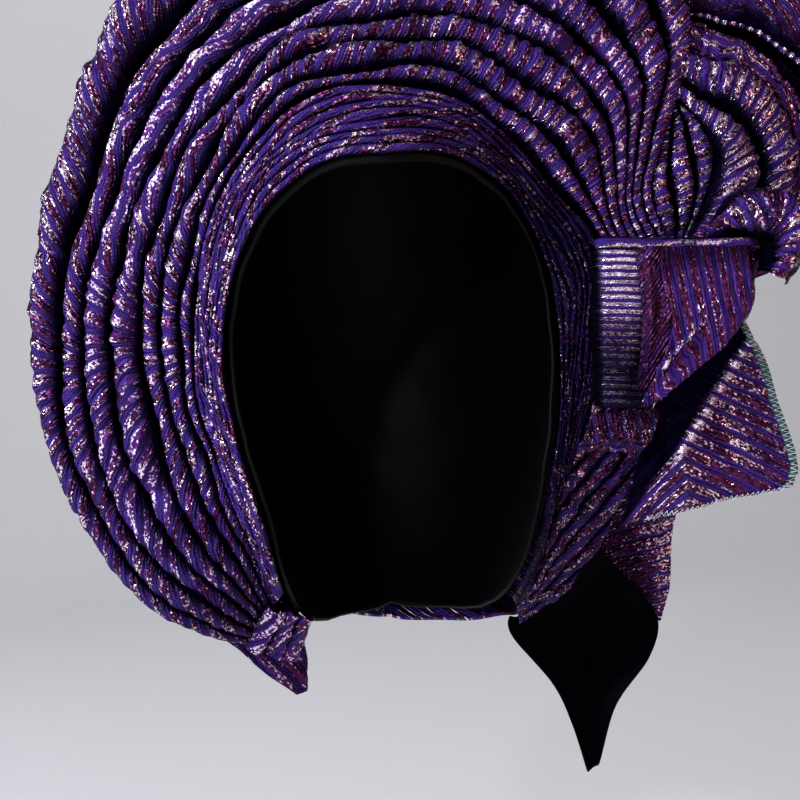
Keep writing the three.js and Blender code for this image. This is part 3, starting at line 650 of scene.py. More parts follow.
def roll(
    fan, low, high, steps, round_steps, angle, seed, skirt=FOLD_SKIRT, rise=FOLD_RISE, relief=1.0, lift=0.0,
    start=0.0, end=1.0, narrow=ROLL_NARROW, turned=0.0, shaded_side=0.0, lit_at=0.5
):
    """One rolled fold between two creases of a fan: its points, its stripes and its painted shade and glints
    """
    along = np.linspace(start, end, steps + 1)[:, None]
    around = np.linspace(0, 1, round_steps + 1)[None, :]
    crown = np.clip((around - ROLL_TURN) / (1 - 2 * ROLL_TURN), 0, 1)
    back = np.clip(1 - around / ROLL_TURN, 0, 1) + np.clip((around - 1 + ROLL_TURN) / ROLL_TURN, 0, 1)
    lowest, highest = low(along), high(along)
    middle = (lowest + highest) / 2
    _, along_way = facing(fan, along, middle)
    span = fan(along, highest) - fan(along, lowest)
    span = span - along_way * (span * along_way).sum(-1, keepdims=True)
    width = np.linalg.norm(span, axis=-1)
    half = (highest - lowest) / 2 * (1 - narrow * (1 - back))
    share = middle - half * np.cos(math.pi * crown)
    out_way, _ = facing(fan, along, np.clip(share, 0, 1))
    distance = np.linalg.norm(np.diff(fan(along, middle)[:, 0], axis=0), axis=-1)
    distance = np.concatenate([[0], np.cumsum(distance)])[:, None]
    pinch = blend(0.55, 0.95, sway(seed + 9, 32, distance)) * relief
    swell = 1 + 0.13 * sway(seed, 46, distance) + 0.08 * sway(seed + 1, 17, distance) - 0.22 * pinch
    lean = 1 + 0.2 * sway(seed + 2, 60, distance) * np.cos(math.pi * crown)
    tucked = blend(start, 0.02, along) if start < 0 else 1.0
    height = rise * width * np.sin(math.pi * crown) ** 0.72 * swell * lean * tucked
    points = fan(along, share) + out_way * (height + lift)[..., None]
    points[..., 1] += skirt * back
    stripes = stripe_map(points, angle(along[:, 0]), start=37 * seed + turned)
    stripes = (stripes[0] + STRIPE_SWAY * sway(seed + 7, 42, distance) * relief, stripes[1])
    depth = puckers(*stripes, seed, rib=ROLL_RIB * relief, pucker=ROLL_PUCKER * relief)
    # Painted shade, darkest in the creases and full on the crown; it also scales how far the puckers rise
    open_share = blend(0.3, 0.88, np.sin(math.pi * crown)) * np.ones_like(width)
    soften = np.minimum(1, width / 14)
    points = raised(points, depth * soften * (0.3 + 0.7 * open_share))
    # Painted shade on the flank that faces away from the window light
    open_share = open_share * (1 - shaded_side * blend(0.55, 0.06, crown))
    # Painted glints along the crest's lit side, where the painted light goes above 1
    crest = hill(crown - lit_at, CREST_WIDTH) * (0.5 + 0.5 * sway(seed + 8, 21, distance))
    open_share = open_share + CREST_GLINT * crest * blend(0.75, 1, open_share)
    # Painted shade where the roll's end tucks under
    return points, stripes, open_share * mix(0.25, 1, tucked)


def crease_at(table, index, places, seed, amount):
    """A crease's share of the fan's width, with a little sway that its two rolls share"""
    count = len(table[0]["creases"])

    def share(along):
        if index < 0:
            return np.zeros_like(along)
        if index >= count:
            return np.ones_like(along)
        return smooth(table, "creases", places(along), index) + amount * sway(seed + 31 * index, 0.16, along)

    return share


class Wire:
    """A shader socket on which Python sums work, each adding its Math node"""

    def __init__(self, tree, socket=None):
        self.tree = tree
        self.socket = socket

    def node(self, kind, settings=None, values=None, out=0):
        made = self.tree.nodes.new(kind)
        for name, value in (settings or {}).items():
            if name == "stops":
                while len(made.color_ramp.elements) < len(value):
                    made.color_ramp.elements.new(0.5)
                for element, (position, colour) in zip(made.color_ramp.elements, value):
                    element.position = position
                    element.color = colour
            else:
                setattr(made, name, value)
        for name, value in (values or {}).items():
            if isinstance(value, Wire):
                self.tree.links.new(value.socket, made.inputs[name])
            else:
                made.inputs[name].default_value = value
        return Wire(self.tree, made.outputs[out])

    def math(self, operation, *others):
        values = dict(enumerate((self, *others)))
        return self.node("ShaderNodeMath", {"operation": operation}, values)

    def reflected(self, operation, other):
        return self.node("ShaderNodeMath", {"operation": operation}, {0: other, 1: self})

    def __add__(self, other):
        return self.math("ADD", other)

    def __radd__(self, other):
        return self.reflected("ADD", other)

    def __sub__(self, other):
        return self.math("SUBTRACT", other)

    def __rsub__(self, other):
        return self.reflected("SUBTRACT", other)

    def __mul__(self, other):
        return self.math("MULTIPLY", other)

    def __rmul__(self, other):
        return self.reflected("MULTIPLY", other)

    def step(self, low, high):
        """0 below low, 1 above high and a soft step between"""
        limits = {"Value": self, "From Min": low, "From Max": high}
        return self.node("ShaderNodeMapRange", {"interpolation_type": "SMOOTHSTEP"}, limits)

    def colour(self, low, high):
        """A colour between two colours or wires"""
        return self.node("ShaderNodeMix", {"data_type": "RGBA"}, {0: self, 6: low, 7: high}, 2)


def new_material(name):
    material = bpy.data.materials.new(name)
    material.use_nodes = True
    tree = material.node_tree
    shader = tree.nodes["Principled BSDF"]
    return material, Wire(tree), shader


def feed(wire, shader, name):
    wire.tree.links.new(wire.socket, shader.inputs[name])


# Colours of the cloth with its painted crease shade and glints, and how soft the edge of a metallic stripe is
BLUE_LOW = (0.005, 0.002, 0.035, 1)
BLUE_HIGH = (0.100, 0.028, 0.430, 1)
RIB_LINE = (0.006, 0.003, 0.03, 1)
BRONZE_LOW = (0.014, 0.002, 0.018, 1)
SATIN_BAND = (0.085, 0.014, 0.170, 1)
SILVER_AND_GLINT = (0.98, 0.80, 0.98, 1)
PAINTED_CREASE_SHADE = (0.003, 0.001, 0.014, 1)
BLACK_LOW = (0.0005, 0.0005, 0.001, 1)
BLACK_HIGH = (0.0014, 0.0014, 0.0026, 1)
STRIPE_EDGE = 0.06
RIB_PAIR = (0.66, 0.84)


def striped_cloth(
    name, lurex_share=0.56, satin=0.0, glitter=1.0, bright=0.03, warm=0.5, ragged=0.75, ribs=RIB_PAIR
):
    """Ribbed royal blue cloth with metallic stripes, mapped across and along the stripes"""
    material, tool, shader = new_material(name)
    uv = tool.node("ShaderNodeUVMap", {"uv_map": "stripes"})
    parts = tool.node("ShaderNodeSeparateXYZ", values={0: uv})
    across = parts * (1000 / STRIPE)
    length = Wire(tool.tree, parts.socket.node.outputs[1]) * 1000
    flat = {"noise_dimensions": "2D"}
    waver = tool.node("ShaderNodeTexNoise", flat, {"Vector": uv, "Scale": 110, "Detail": 4, "Roughness": 0.6})
    patches = tool.node("ShaderNodeTexNoise", flat, {"Vector": uv, "Scale": 38, "Detail": 2})
    breaks = tool.node("ShaderNodeTexNoise", flat, {"Vector": uv, "Scale": 75, "Detail": 3})
    scallop = (length * (2 * math.pi / 1.9)).math("SINE")
    phase = (across + (waver - 0.5) * ragged + scallop * 0.03).math("FRACT")
    edge = STRIPE_EDGE
    reach = phase + (breaks - 0.5) * (0.66 * ragged)
    lurex = phase.step(0, edge * 2) * (1 - reach.step(lurex_share - edge, lurex_share + edge))
    rim = phase.step(0, edge) * (1 - phase.step(edge, edge * 3))
    rim_two = phase.step(lurex_share - edge * 3, lurex_share - edge) * (
        1 - phase.step(lurex_share - edge, lurex_share + edge)
    )
    scaled = tool.node("ShaderNodeVectorMath", {"operation": "MULTIPLY"}, {0: uv, 1: (1650, 1150, 1)})
    cells = tool.node(
        "ShaderNodeTexVoronoi", {"voronoi_dimensions": "2D"}, {"Vector": scaled, "Scale": 1.0}, "Color"
    )
    chance = tool.node("ShaderNodeSeparateColor", values={0: cells})
    other_chance = Wire(tool.tree, chance.socket.node.outputs[1])
    third_chance = Wire(tool.tree, chance.socket.node.outputs[2])
    open_share = tool.node("ShaderNodeAttribute", {"attribute_name": "open_share"}, out="Fac")
    # Painted glints: silver cells gather where the painted light goes above 1, besides random clusters and
    # the stripes' edges
    sparkle = (open_share - 1).math("MAXIMUM", 0) + (patches + breaks) * 0.6 - 0.6 + (rim + rim_two) * 0.25
    silver_and_glint = (chance + sparkle).step(0.95 - bright, 1.05 - bright) * lurex
    line_one = 1 - ((phase - ribs[0]).math("ABSOLUTE")).step(0.015, 0.045)
    line_two = 1 - ((phase - ribs[1]).math("ABSOLUTE")).step(0.015, 0.045)
    lines = (line_one + line_two).math("MINIMUM", 1)
    cross_rib = (length * (2 * math.pi)).math("SINE") * 0.5 + 0.5
    wrinkle = (across * (2 * math.pi * 4.2) + (waver - 0.5) * 9).math("SINE") * waver.step(0.35, 0.65)
    # Painted shade in the blue's small wrinkles, mixed with its woven cross ribs and random tone
    creased = (0.5 + wrinkle * 0.5) * 0.6 + cross_rib * 0.2 + breaks * 0.2
    blue = (creased.step(0.2, 0.95) * 0.8 + creased * 0.2).colour(BLUE_LOW, BLUE_HIGH)
    blue = (lines * 0.8).colour(blue, RIB_LINE)
    bronze = other_chance.colour(BRONZE_LOW, (0.13 + 0.02 * warm, 0.022 + 0.01 * warm, 0.12, 1))
    violet = (patches.step(0.35, 0.6) * satin).colour(bronze, SATIN_BAND)
    base = silver_and_glint.colour(lurex.colour(blue, violet), SILVER_AND_GLINT)
    # Painted shade: in creases and on shaded flanks the colour falls to near black and the cloth turns fully
    # metallic, so it reflects almost nothing
    shaded = open_share.math("MINIMUM", 1)
    base = (shaded * shaded).colour(PAINTED_CREASE_SHADE, base)
    feed(base, shader, "Base Color")
    smooth_satin = patches.step(0.35, 0.6) * (satin * 0.7)
    feed(1 - (1 - lurex * (0.9 - smooth_satin)) * shaded, shader, "Metallic")
    feed(0.44 - lurex * 0.16 + third_chance * 0.08 - silver_and_glint * 0.06 + smooth_satin * 0.3, shader, "Roughness")
    weave = lurex * 0.25 + (1 - lurex) * (cross_rib * 0.25) - lines * 0.3 + wrinkle * 0.55
    relief = {"Strength": 0.8, "Distance": 0.0009, "Height": weave}
    bump = tool.node("ShaderNodeBump", values=relief, out="Normal")
    centred = tool.node("ShaderNodeVectorMath", {"operation": "SUBTRACT"}, {0: cells, 1: (0.5, 0.5, 0.5)})
    amount = (lurex - smooth_satin).math("MAXIMUM", 0) * (0.66 * glitter)
    tilt = tool.node("ShaderNodeVectorMath", {"operation": "SCALE"}, {0: centred, "Scale": amount})
    tipped = tool.node("ShaderNodeVectorMath", {"operation": "ADD"}, {0: bump, 1: tilt})
    normal = tool.node("ShaderNodeVectorMath", {"operation": "NORMALIZE"}, {0: tipped})
    feed(normal, shader, "Normal")
    shader.inputs["Specular IOR Level"].default_value = 0.14
    return material


def satin_lining(name, sheen=0.0):
    """Smooth black lining with a faint weave"""
    material, tool, shader = new_material(name)
    uv = tool.node("ShaderNodeUVMap", {"uv_map": "stripes"})
    flat = {"noise_dimensions": "2D"}
    drift = tool.node("ShaderNodeTexNoise", flat, {"Vector": uv, "Scale": 30, "Detail": 3})
    threads = tool.node("ShaderNodeVectorMath", {"operation": "SCALE"}, {0: uv, "Scale": 2200})
    parts = tool.node("ShaderNodeSeparateXYZ", values={0: threads})
    weave = parts.math("SINE") * Wire(tool.tree, parts.socket.node.outputs[1]).math("SINE")
    feed((drift + sheen * 6).colour(BLACK_LOW, BLACK_HIGH), shader, "Base Color")
    shader.inputs["Metallic"].default_value = 1 - sheen
    feed(0.5 + drift * 0.16, shader, "Roughness")
    relief = {"Strength": 0.15, "Distance": 0.0002, "Height": weave}
    bump = tool.node("ShaderNodeBump", values=relief, out="Normal")
    feed(bump, shader, "Normal")
    shader.inputs["Specular IOR Level"].default_value = 0.08 + 0.4 * sheen
    return material


def thread_finish(name, light, dark):
    """Overlock thread in two colours"""
    material, tool, shader = new_material(name)
    spot = tool.node("ShaderNodeTexCoord", out="Object")
    noise = tool.node("ShaderNodeTexNoise", values={"Vector": spot, "Scale": 420, "Detail": 2})
    feed(noise.step(0.4, 0.6).colour(light, dark), shader, "Base Color")
    feed(0.55 + noise * 0.2, shader, "Roughness")
    relief = {"Strength": 0.4, "Distance": 0.0003, "Height": noise}
    bump = tool.node("ShaderNodeBump", values=relief, out="Normal")
    feed(bump, shader, "Normal")
    return material


# Finishes. Besides colour and weave, the bright setting sets how many cells turn silver, partly thread and
# partly painted glints: raised for lit parts (fine, bright, bow, hem), lowered for darker ones (rib, bronze);
# the two finishes in shade are shaded copies of the cloth
FINISHES = {
    "cloth": striped_cloth("striped cloth"),
    "satin": striped_cloth("striped cloth with satin bands", satin=1.0, glitter=0.9, bright=0.05),
    "fine": striped_cloth("finely pleated cloth", lurex_share=0.5, glitter=1.3, bright=0.13),
    "shade": striped_cloth(
        "finely pleated cloth in shade", lurex_share=0.62, glitter=1.2, bright=0.05, warm=1.0
    ),
    "pink": striped_cloth(
        "striped flap", lurex_share=0.66, glitter=0.8, warm=1.0, bright=0.1, ragged=0.3
    ),
    "maroon": striped_cloth("striped cloth in shade", lurex_share=0.8, bright=0.0, warm=1.0),
    "bronze": striped_cloth(
        "bronze side of the cloth", lurex_share=0.95, glitter=0.5, bright=-0.25, warm=1.6
    ),
    "bright": striped_cloth("brightly lit striped cloth", lurex_share=0.5, bright=0.5, ragged=0.3),
    "bow": striped_cloth("striped cloth of the bow", bright=0.22),
    "rib": striped_cloth(
        "upright ribbed cloth", lurex_share=0.5, glitter=0.7, bright=-0.12, warm=0.8, ragged=0.22,
        ribs=(0.74, 0.74),
    ),
    "hem": striped_cloth("rolled hem", lurex_share=0.25, bright=0.4),
    "plain": striped_cloth("broad ribbed cloth", lurex_share=0.5, bright=0.0, warm=0.8),
    "lining": satin_lining("black satin lining"),
    "cap": satin_lining("black lining of the cap", sheen=0.35),
    "overlock": thread_finish("overlock thread", (0.80, 0.88, 0.90, 1), (0.50, 0.64, 0.68, 1)),
    "overlock_base": thread_finish("overlock ground", (0.02, 0.10, 0.12, 1), (0.01, 0.05, 0.06, 1)),
}


# Inner cap, with its wall turned to the head side
def make_cap():
    along, across = lattice(120, 32)
    turn = mix(-90, 270, along)
    rim = np.arcsin(smooth(RIM, "depth", turn))
    angle = mix(rim, math.pi / 2, across)
    points = polar(turn, head_reach(turn) * np.cos(angle), HEAD_SET_BACK + HEAD_HALF_DEPTH * np.sin(angle))
    outward = unit(points - np.array(HEAD_CENTRE))
    points = points + outward * (CAP_WALL + 0.35 * sway(3, 30, points[..., 0], points[..., 2]))[..., None]
    spot = (points[..., 0], points[..., 1] + points[..., 2])
    halves = ("inner_cap_left", "inner_cap_right")
    cloth(
        "cap_lining", points, spot, halves, CAP_WALL, closed=True, finish="cap",
        away=HEAD_CENTRE,
    )


# Cloth round the back of the head
def make_back():
    along, across = lattice(300, 56)
    points = wrap_smooth(across, along)
    outward = unit(points - np.array(HEAD_CENTRE))
    fade = np.sin(np.clip(across, 0, 1) * math.pi)
    pleat = np.cos(along * WRAP_PLEATS * 2 * math.pi + 0.6 * np.sin(along * 14)) * fade
    fine = 0.8 * np.cos(along * 58 * 2 * math.pi + 3 * across) * fade * (1 - 0.6 * across)
    points = points + outward * (WRAP_PLEAT_RISE * pleat + fine)[..., None]
    x, y, z = (points[..., axis] for axis in range(3))
    spot = (z * 0.8 + x * 0.6, x * 0.8 - z * 0.6 + y)
    height = puckers(*spot, 5, rib=0.3, pucker=0.5)
    points = points + outward * (height * blend(0, 0.03, across) * (1 - blend(0.97, 1, across)))[..., None]
    cloth(
        "back_cloth", points, spot, ("back_wrap",), WRAP_WALL, closed=True, away=HEAD_CENTRE
    )


# Fine pleats round the face and below the knot
def pleated(fan, count, rise, steps, round_steps, angle, seed, drift=0.02, slant=0.0):
    along = np.linspace(0, 1, steps + 1)[:, None]
    across = np.linspace(0, 1, round_steps + 1)[None, :]
    shifted = across + drift * sway(seed, 0.22, along, across * 0.3) * np.sin(math.pi * across)
    shifted = np.clip(shifted, 0, 1) + slant * (1 - along)
    hump = np.abs(np.sin(math.pi * count * shifted)) ** 0.7
    out_way, _ = facing(fan, along, across)
    order = np.floor(np.minimum(count * shifted, count * (1 + slant) - 0.001))
    uneven = 0.75 + 0.35 * sway(seed + 5, 0.1, along + order * 1.7)
    points = fan(along, across) + out_way * (rise * hump * uneven)[..., None]
    stripes = stripe_map(points, angle(along[:, 0]))
    across_stripes = stripes[0] + STRIPE * order_chance(order, seed)
    depth = puckers(across_stripes, stripes[1], seed, rib=0.2, pucker=0.5)
    # Painted shade in the valleys between the pleats
    return raised(points, depth * hump), (across_stripes, stripes[1]), blend(0.15, 0.9, hump)


def make_band():
    first, last = BAND[0]["at"], BAND[-1]["at"]

    def fan(along, share):
        return band_point(mix(first, last, along), share)

    points, stripes, shade = pleated(fan, 8, BAND_PLEAT_RISE, 640, 96, steady(15), 21, drift=0.05)
    turn = mix(first, last, np.linspace(0, 1, len(points)))[:, None]
    # Painted shade: the pleats on the right side, away from the window light, are darker
    shade = shade * mix(0.34, 1, blend(35, 100, turn))
    cut = int(np.searchsorted(turn[:, 0], BAND_SPLIT))
    sides = (
        ("face_pleats_right", slice(0, cut + 1), (), "shade"),
        ("face_pleats", slice(cut, None), ("face_band",), "fine"),
    )
    for name, side, stands_for, finish in sides:
        spots = [part[side] for part in stripes]
        cloth(name, points[side], spots, stands_for, 0, shade[side], finish=finish)


def make_side():
    def fan(along, share):
        return side_point(mix(SIDE_FROM, SIDE_TO, along), share)

    points, stripes, shade = pleated(
        fan, 4, SIDE_PLEAT_RISE, 220, 100, steady(-28), 22, drift=0.03, slant=1.35
    )
    # Painted shade: the side pleats below the knot are darker overall
    cloth("side_pleats", points, stripes, ("side_wrap",), 0, shade * 0.75, finish="shade")


# Rolled folds of the brim
def make_brim():
    def places(along):
        return mix(BRIM_FROM, BRIM_TO, along)

    def fan(along, share):
        return brim_point(places(along), share)

    for index, kind in enumerate(BRIM_ROLLS):

        def angle(along, index=index):
            return smooth(BRIM_STRIPES[index], "angle", places(along))

        low = crease_at(BRIM, index - 1, places, 40, BRIM_SWAY)
        high = crease_at(BRIM, index, places, 40, BRIM_SWAY)
        steps = BRIM_STEPS + BRIM_STEPS_MORE * index
        at = np.linspace(0, 1, steps + 1)[:, None]
        # Painted shade on each roll's inner flank, growing as the brim turns to the left, and painted glints
        # on its lit side
        to_left = blend(0.12, 0.36, at)
        points, stripes, shade = roll(
            fan, low, high, steps, kind["round_steps"], angle, 50 + index, narrow=BRIM_NARROW,
            shaded_side=0.6 * to_left, lit_at=mix(0.36, 0.56, to_left),
        )
        # Painted shade: darker toward the lower end of the brim
        shade = shade * (1 - 0.36 * blend(200, 236, places(at)))
        slot = "striped_cloth" if index % 2 else "lurex_cloth"
        node = "brim_fold_" + str(index + 1)
        name = "brim_roll_" + str(index + 1)
        cloth(name, points, stripes, (node,), 0, shade, finish=kind["finish"])


def bow_tucked(along, share):
    """The bow's fan, carried on under the brim's outer roll and down behind the knot's hem"""
    along = np.asarray(along, float)
    points = bow_point(along, share)
    before = np.clip(-along, 0, 1)[..., None]
    after = np.clip(along - 1, 0, 1)[..., None]
    return points + before * np.array([-120, 190, 0]) + after * np.array([-40, 30, -160])


def lobes_tucked(along, share):
    """The lobes' fan, its edges tucked under the brim and the bow and its foot behind the knot's hem"""
    along = np.asarray(along, float)
    at = np.clip(along, 0, 1)
    left = brim_point(mix(LOBE_TURN, BOW_INNER_TURN, at), 0.98) + np.array([0, 4, 0])
    right = bow_point(1 - at, 0.03 + 0 * at) + np.array([0, 3, 0])
    points = mix(left, right, np.asarray(share, float)[..., None])
    return points + np.clip(-along, 0, 1)[..., None] * np.array([-10, 30, -140])


def bow_crease(index):
    return crease_at(BOW_CREASES, index, lambda along: along, 60, BOW_SWAY)


def make_bow():
    for index, kind in enumerate(BOW_ROLLS):

        def angle(at, first=kind["first_angle"], last=kind["last_angle"]):
            return mix(first, last, np.clip(at, 0, 1))

        points, stripes, shade = roll(
            bow_tucked, bow_crease(index - 1), bow_crease(index), kind["steps"], kind["round_steps"], angle,
            70 + index, rise=kind["rise"], lift=kind["lift"], start=-0.07, end=1.06, narrow=kind["narrow"],
        )
        # Painted shade: the sunken fourth roll is painted nearly black
        if kind["finish"] == "maroon":
            shade = shade * 0.12
        slot = "lurex_cloth" if index % 2 else "striped_cloth"
        node = "bow_fold_" + str(index + 1)
        name = "bow_roll_" + str(index + 1)
        cloth(name, points, stripes, (node,), 0, shade, finish=kind["finish"])


def make_bow_beads():
    """Beaded lower edges of the bow's upper folds, one cord-thin roll each"""
    for index, kind in enumerate(BEAD_EDGES):
        line = bow_crease(kind["crease"])
        points, stripes, shade = roll(
            bow_tucked, lambda at: line(at) - 0.014, lambda at: line(at) + 0.014, 360, 10, steady(88),
            kind["seed"], skirt=2, rise=0.7, lift=kind["lift"], start=-0.05, relief=0.2,
        )
        spots = (stripes[0] * 1.5, stripes[1])
        points = raised(points, 0.9 * np.abs(np.sin(math.pi * (spots[0] / STRIPE + 0.25))))
        name = "bow_bead_edge_" + str(index + 1)
        cloth(name, points, spots, (), 0, shade, finish=kind["finish"])


def make_lobes():
    for index in range(3):
        low = crease_at(LOBE_CREASES, index - 1, lambda along: along, 80, 0)
        high = crease_at(LOBE_CREASES, index, lambda along: along, 80, 0)
        points, stripes, shade = roll(
            lobes_tucked, low, high, 130, 30, lambda at: 80 - 8 * np.clip(at, 0, 1), 90 + index,
            skirt=FOLD_SKIRT / 2, rise=0.62, start=-0.12,
        )
        node = "knot_lobe_" + str(index + 1)
        name = "lobe_" + str(index + 1)
        cloth(name, points, stripes, (node,), 0, shade, finish="bow")


# Knot: a left face with level stripes, a creased corner turned back, and a right face with upright ribs
def knot_point(down, share):
    left = smooth(KNOT_ROWS, "left", down) + KNOT_LEFT_IN * (1 - 0.75 * np.clip(down, 0, 1))
    right = smooth(KNOT_ROWS, "right", down) + 0.03
    forward = smooth(KNOT_ROWS, "forward", down) * smooth(KNOT_SECTION, "forward", share)
    across = mix(left, right, np.maximum(share, 0))
    up = -KNOT_HEIGHT * down - KNOT_TILT * KNOT_HEIGHT * across * (1 - down)
    return from_knot(KNOT_WIDTH * across, up, KNOT_DEPTH * (1 - forward))


def make_left_face():
    down, share = lattice(130, 76, (0, 1.01), (-0.06, 0.62))
    points = knot_point(down, share)
    points[..., 1] += 3 * blend(0.2, 0.34, share)
    spot = (2.05 * points[..., 2] + 0.2 * points[..., 0], points[..., 0])
    points = raised(points, puckers(*spot, 101, rib=0.1, pucker=0.9))
    # Painted light: brighter with painted glints at the top, darker toward the bottom and at the left edge
    shade = (1.7 - 1.3 * blend(0.05, 0.8, down)) * blend(-0.05, 0.05, share)
    cloth("knot_left_face", points, spot, ("knot_wrap",), FOLD_WALL, shade, finish="bright")


def make_turned_corner():
    """Bronze side of the cloth, folded back between the two faces"""
    down, share = lattice(90, 36, (0.03, 0.92), (0.2, 0.5))
    turned = mix(share, 0.2 + 0.32 * down, 0.3) + 0.08 * down * down
    points = knot_point(down, turned)
    points[..., 1] -= 0.6 + 2.6 * blend(0.2, 0.3, share)
    spot = (points[..., 0] * 0.8 - points[..., 2] * 0.6, points[..., 2])
    dimple = -2.2 * hill(down - 0.42, 0.12) * hill(share - 0.36, 0.05)
    points = raised(points, puckers(*spot, 102, rib=0.1, pucker=0.4) + dimple)
    lit = 0.75 + 0.25 * blend(0.1, 0, down) - 0.3 * blend(0.5, 0.75, down)
    cloth("knot_turned_corner", points, spot, (), TURNED_WALL, lit, finish="bronze")


def make_right_face():
    down, share = lattice(140, 110)
    first = 0.36 + 0.24 * down - 0.03 * np.sin(down * 8)
    lowest = np.minimum(1.02, 1.13 - 0.5 * share ** 1.4)
    top = 0.035 + 0.03 * np.clip((share - 0.9) / 0.1, 0, 1) ** 2
    points = knot_point(top + down * (lowest - top), mix(first * (1 - 0.12 * down), 1, share))
    cut = np.clip(1 - share / 0.3, 0, 1) * np.clip((down - 0.55) / 0.45, 0, 1)
    points[..., 1] -= 3.4 * (1 - blend(0.9, 1, share)) + 0.8 * hill(share, 0.05) - 1.5 * cut
    spot = (points[..., 0] + 0.13 * points[..., 2], points[..., 2] - 0.13 * points[..., 0])
    fold_at = down - 0.78 + 0.7 * share + 0.012 * np.sin(share * 90)
    folded = hill(fold_at, 0.032) * blend(0.4, 0.3, share) * blend(0.0, 0.06, share)
    spot = (1.05 * (spot[0] + 2.4 * blend(-0.02, 0.02, fold_at) * blend(0.5, 0.3, share)), spot[1])
    points = raised(points, puckers(*spot, 103, rib=0.35, pucker=0.8) + 2.6 * folded)
    # Painted shade near the top and at the right edge, and painted glints along the crinkled fold
    shade = (0.5 + 0.5 * blend(0, 0.25, down)) * blend(0.0, 0.06, 1 - share) + folded
    cloth("knot_right_face", points, spot, (), FOLD_WALL, shade, finish="rib")


def make_knot_hem():
    def hem(along, share):
        point = knot_point(np.zeros_like(along), mix(-0.01, 1.0, np.clip(along, 0, 1)))
        sag = 0.9 * np.sin(math.pi * np.clip(along, 0, 1)) - 0.9 * along
        return point + place(0 * along, -2.2 + 0 * along, 2.6 - sag - 6.2 * share)

    points, stripes, shade = roll(
        hem, steady(0), steady(1), 220, 26, steady(4), 105, skirt=2, relief=0.2, rise=0.5, turned=4.5
    )
    cloth("knot_hem", points, stripes, (), 0, shade, finish="hem")


def make_rosette():
    fan = edge_fan(ROSETTE, KNOT_WIDTH, KNOT_HEIGHT, KNOT_DEPTH)

    def forward(along, share):
        return fan(along, share) + np.array([0, -0.5, 0])

    points, stripes, shade = roll(
        forward, steady(0), steady(1), 170, 60, lambda at: 35 + 60 * at, 110, skirt=FOLD_SKIRT / 2, rise=0.42
    )
    cheek = np.linspace(0, 1, points.shape[1])[None, :]
    swirl = 1.6 * np.sin(2 * math.pi * (2.1 * cheek + 1.4 * np.linspace(0, 1, points.shape[0])[:, None]))
    points = raised(points, swirl * np.sin(math.pi * cheek) ** 0.6)
    cloth("rosette_roll", points, stripes, ("rosette",), 0, shade, finish="cloth")


def nape_bundle(turn_from, turn_to, deep):
    def fan(along, share):
        turn = BRIM_TO + mix(turn_from, turn_to, share)
        low = brim_point(BRIM_TO, mix(-0.1, 1, np.asarray(along, float)))
        radius = np.hypot(low[..., 0], low[..., 2] + CROWN_REACH)
        return polar(turn, radius, low[..., 1] + NAPE_BACK * np.asarray(share, float) + deep)

    return fan


def make_nape():
    for index, kind in enumerate(NAPE_ROLLS):
        points, stripes, shade = roll(
            nape_bundle(kind["first"], kind["last"], kind["deep"]), steady(0), steady(1), 110, 30,
            lambda at: 14 + 20 * at, 115 + index, rise=0.6,
        )
        stands_for = () if index else ("nape_fold",)
        name = "nape_roll_" + str(index + 1)
        cloth(name, points, stripes, stands_for, 0, shade, finish="satin")


# Flaps and tails. The corner flap's two parts fall at their own angles, and the knot's lower right edge lies
# over it and casts a painted shadow on it: a foot on that edge, from the knot's corner, and the way that
# leads off it
FLAP_RIGHT_WAY = 29
FLAP_LEFT_WAY = 44
KNOT_EDGE_FOOT = (25, -85)
KNOT_EDGE_AWAY = (0.813, -0.582)


def sheet_grid(fan, steps, across_steps):
    along, share = lattice(steps, across_steps)
    return along, share, fan(along, share)


def make_under_flap():
    fan = edge_fan(UNDER_FLAP, KNOT_WIDTH, KNOT_HEIGHT, KNOT_DEPTH)
    along, share, points = sheet_grid(fan, 48, 84)
    bars = points[..., 0] + 0.1 * points[..., 2]
    level = points[..., 2] * 1.3 + 0.15 * points[..., 0]
    low = along > 0.62 + 0.06 * np.sin(share * 9)
    spot = (np.where(low, level, bars), np.where(low, bars, level))
    wave = 0.8 * np.sin(share * 34 + 2 * along) * along + 2.2 * hill(along - 0.62, 0.06)
    points = raised(points, puckers(*spot, 121, rib=0.3, pucker=0.8) + wave)
    # Painted shade: darker at the top under the knot, with painted glints along the lower edge
    shade = 0.55 + 0.55 * np.clip(along, 0, 1) ** 2
    cloth("under_flap_cloth", points, spot, ("under_flap",), FOLD_WALL, shade, finish="maroon")


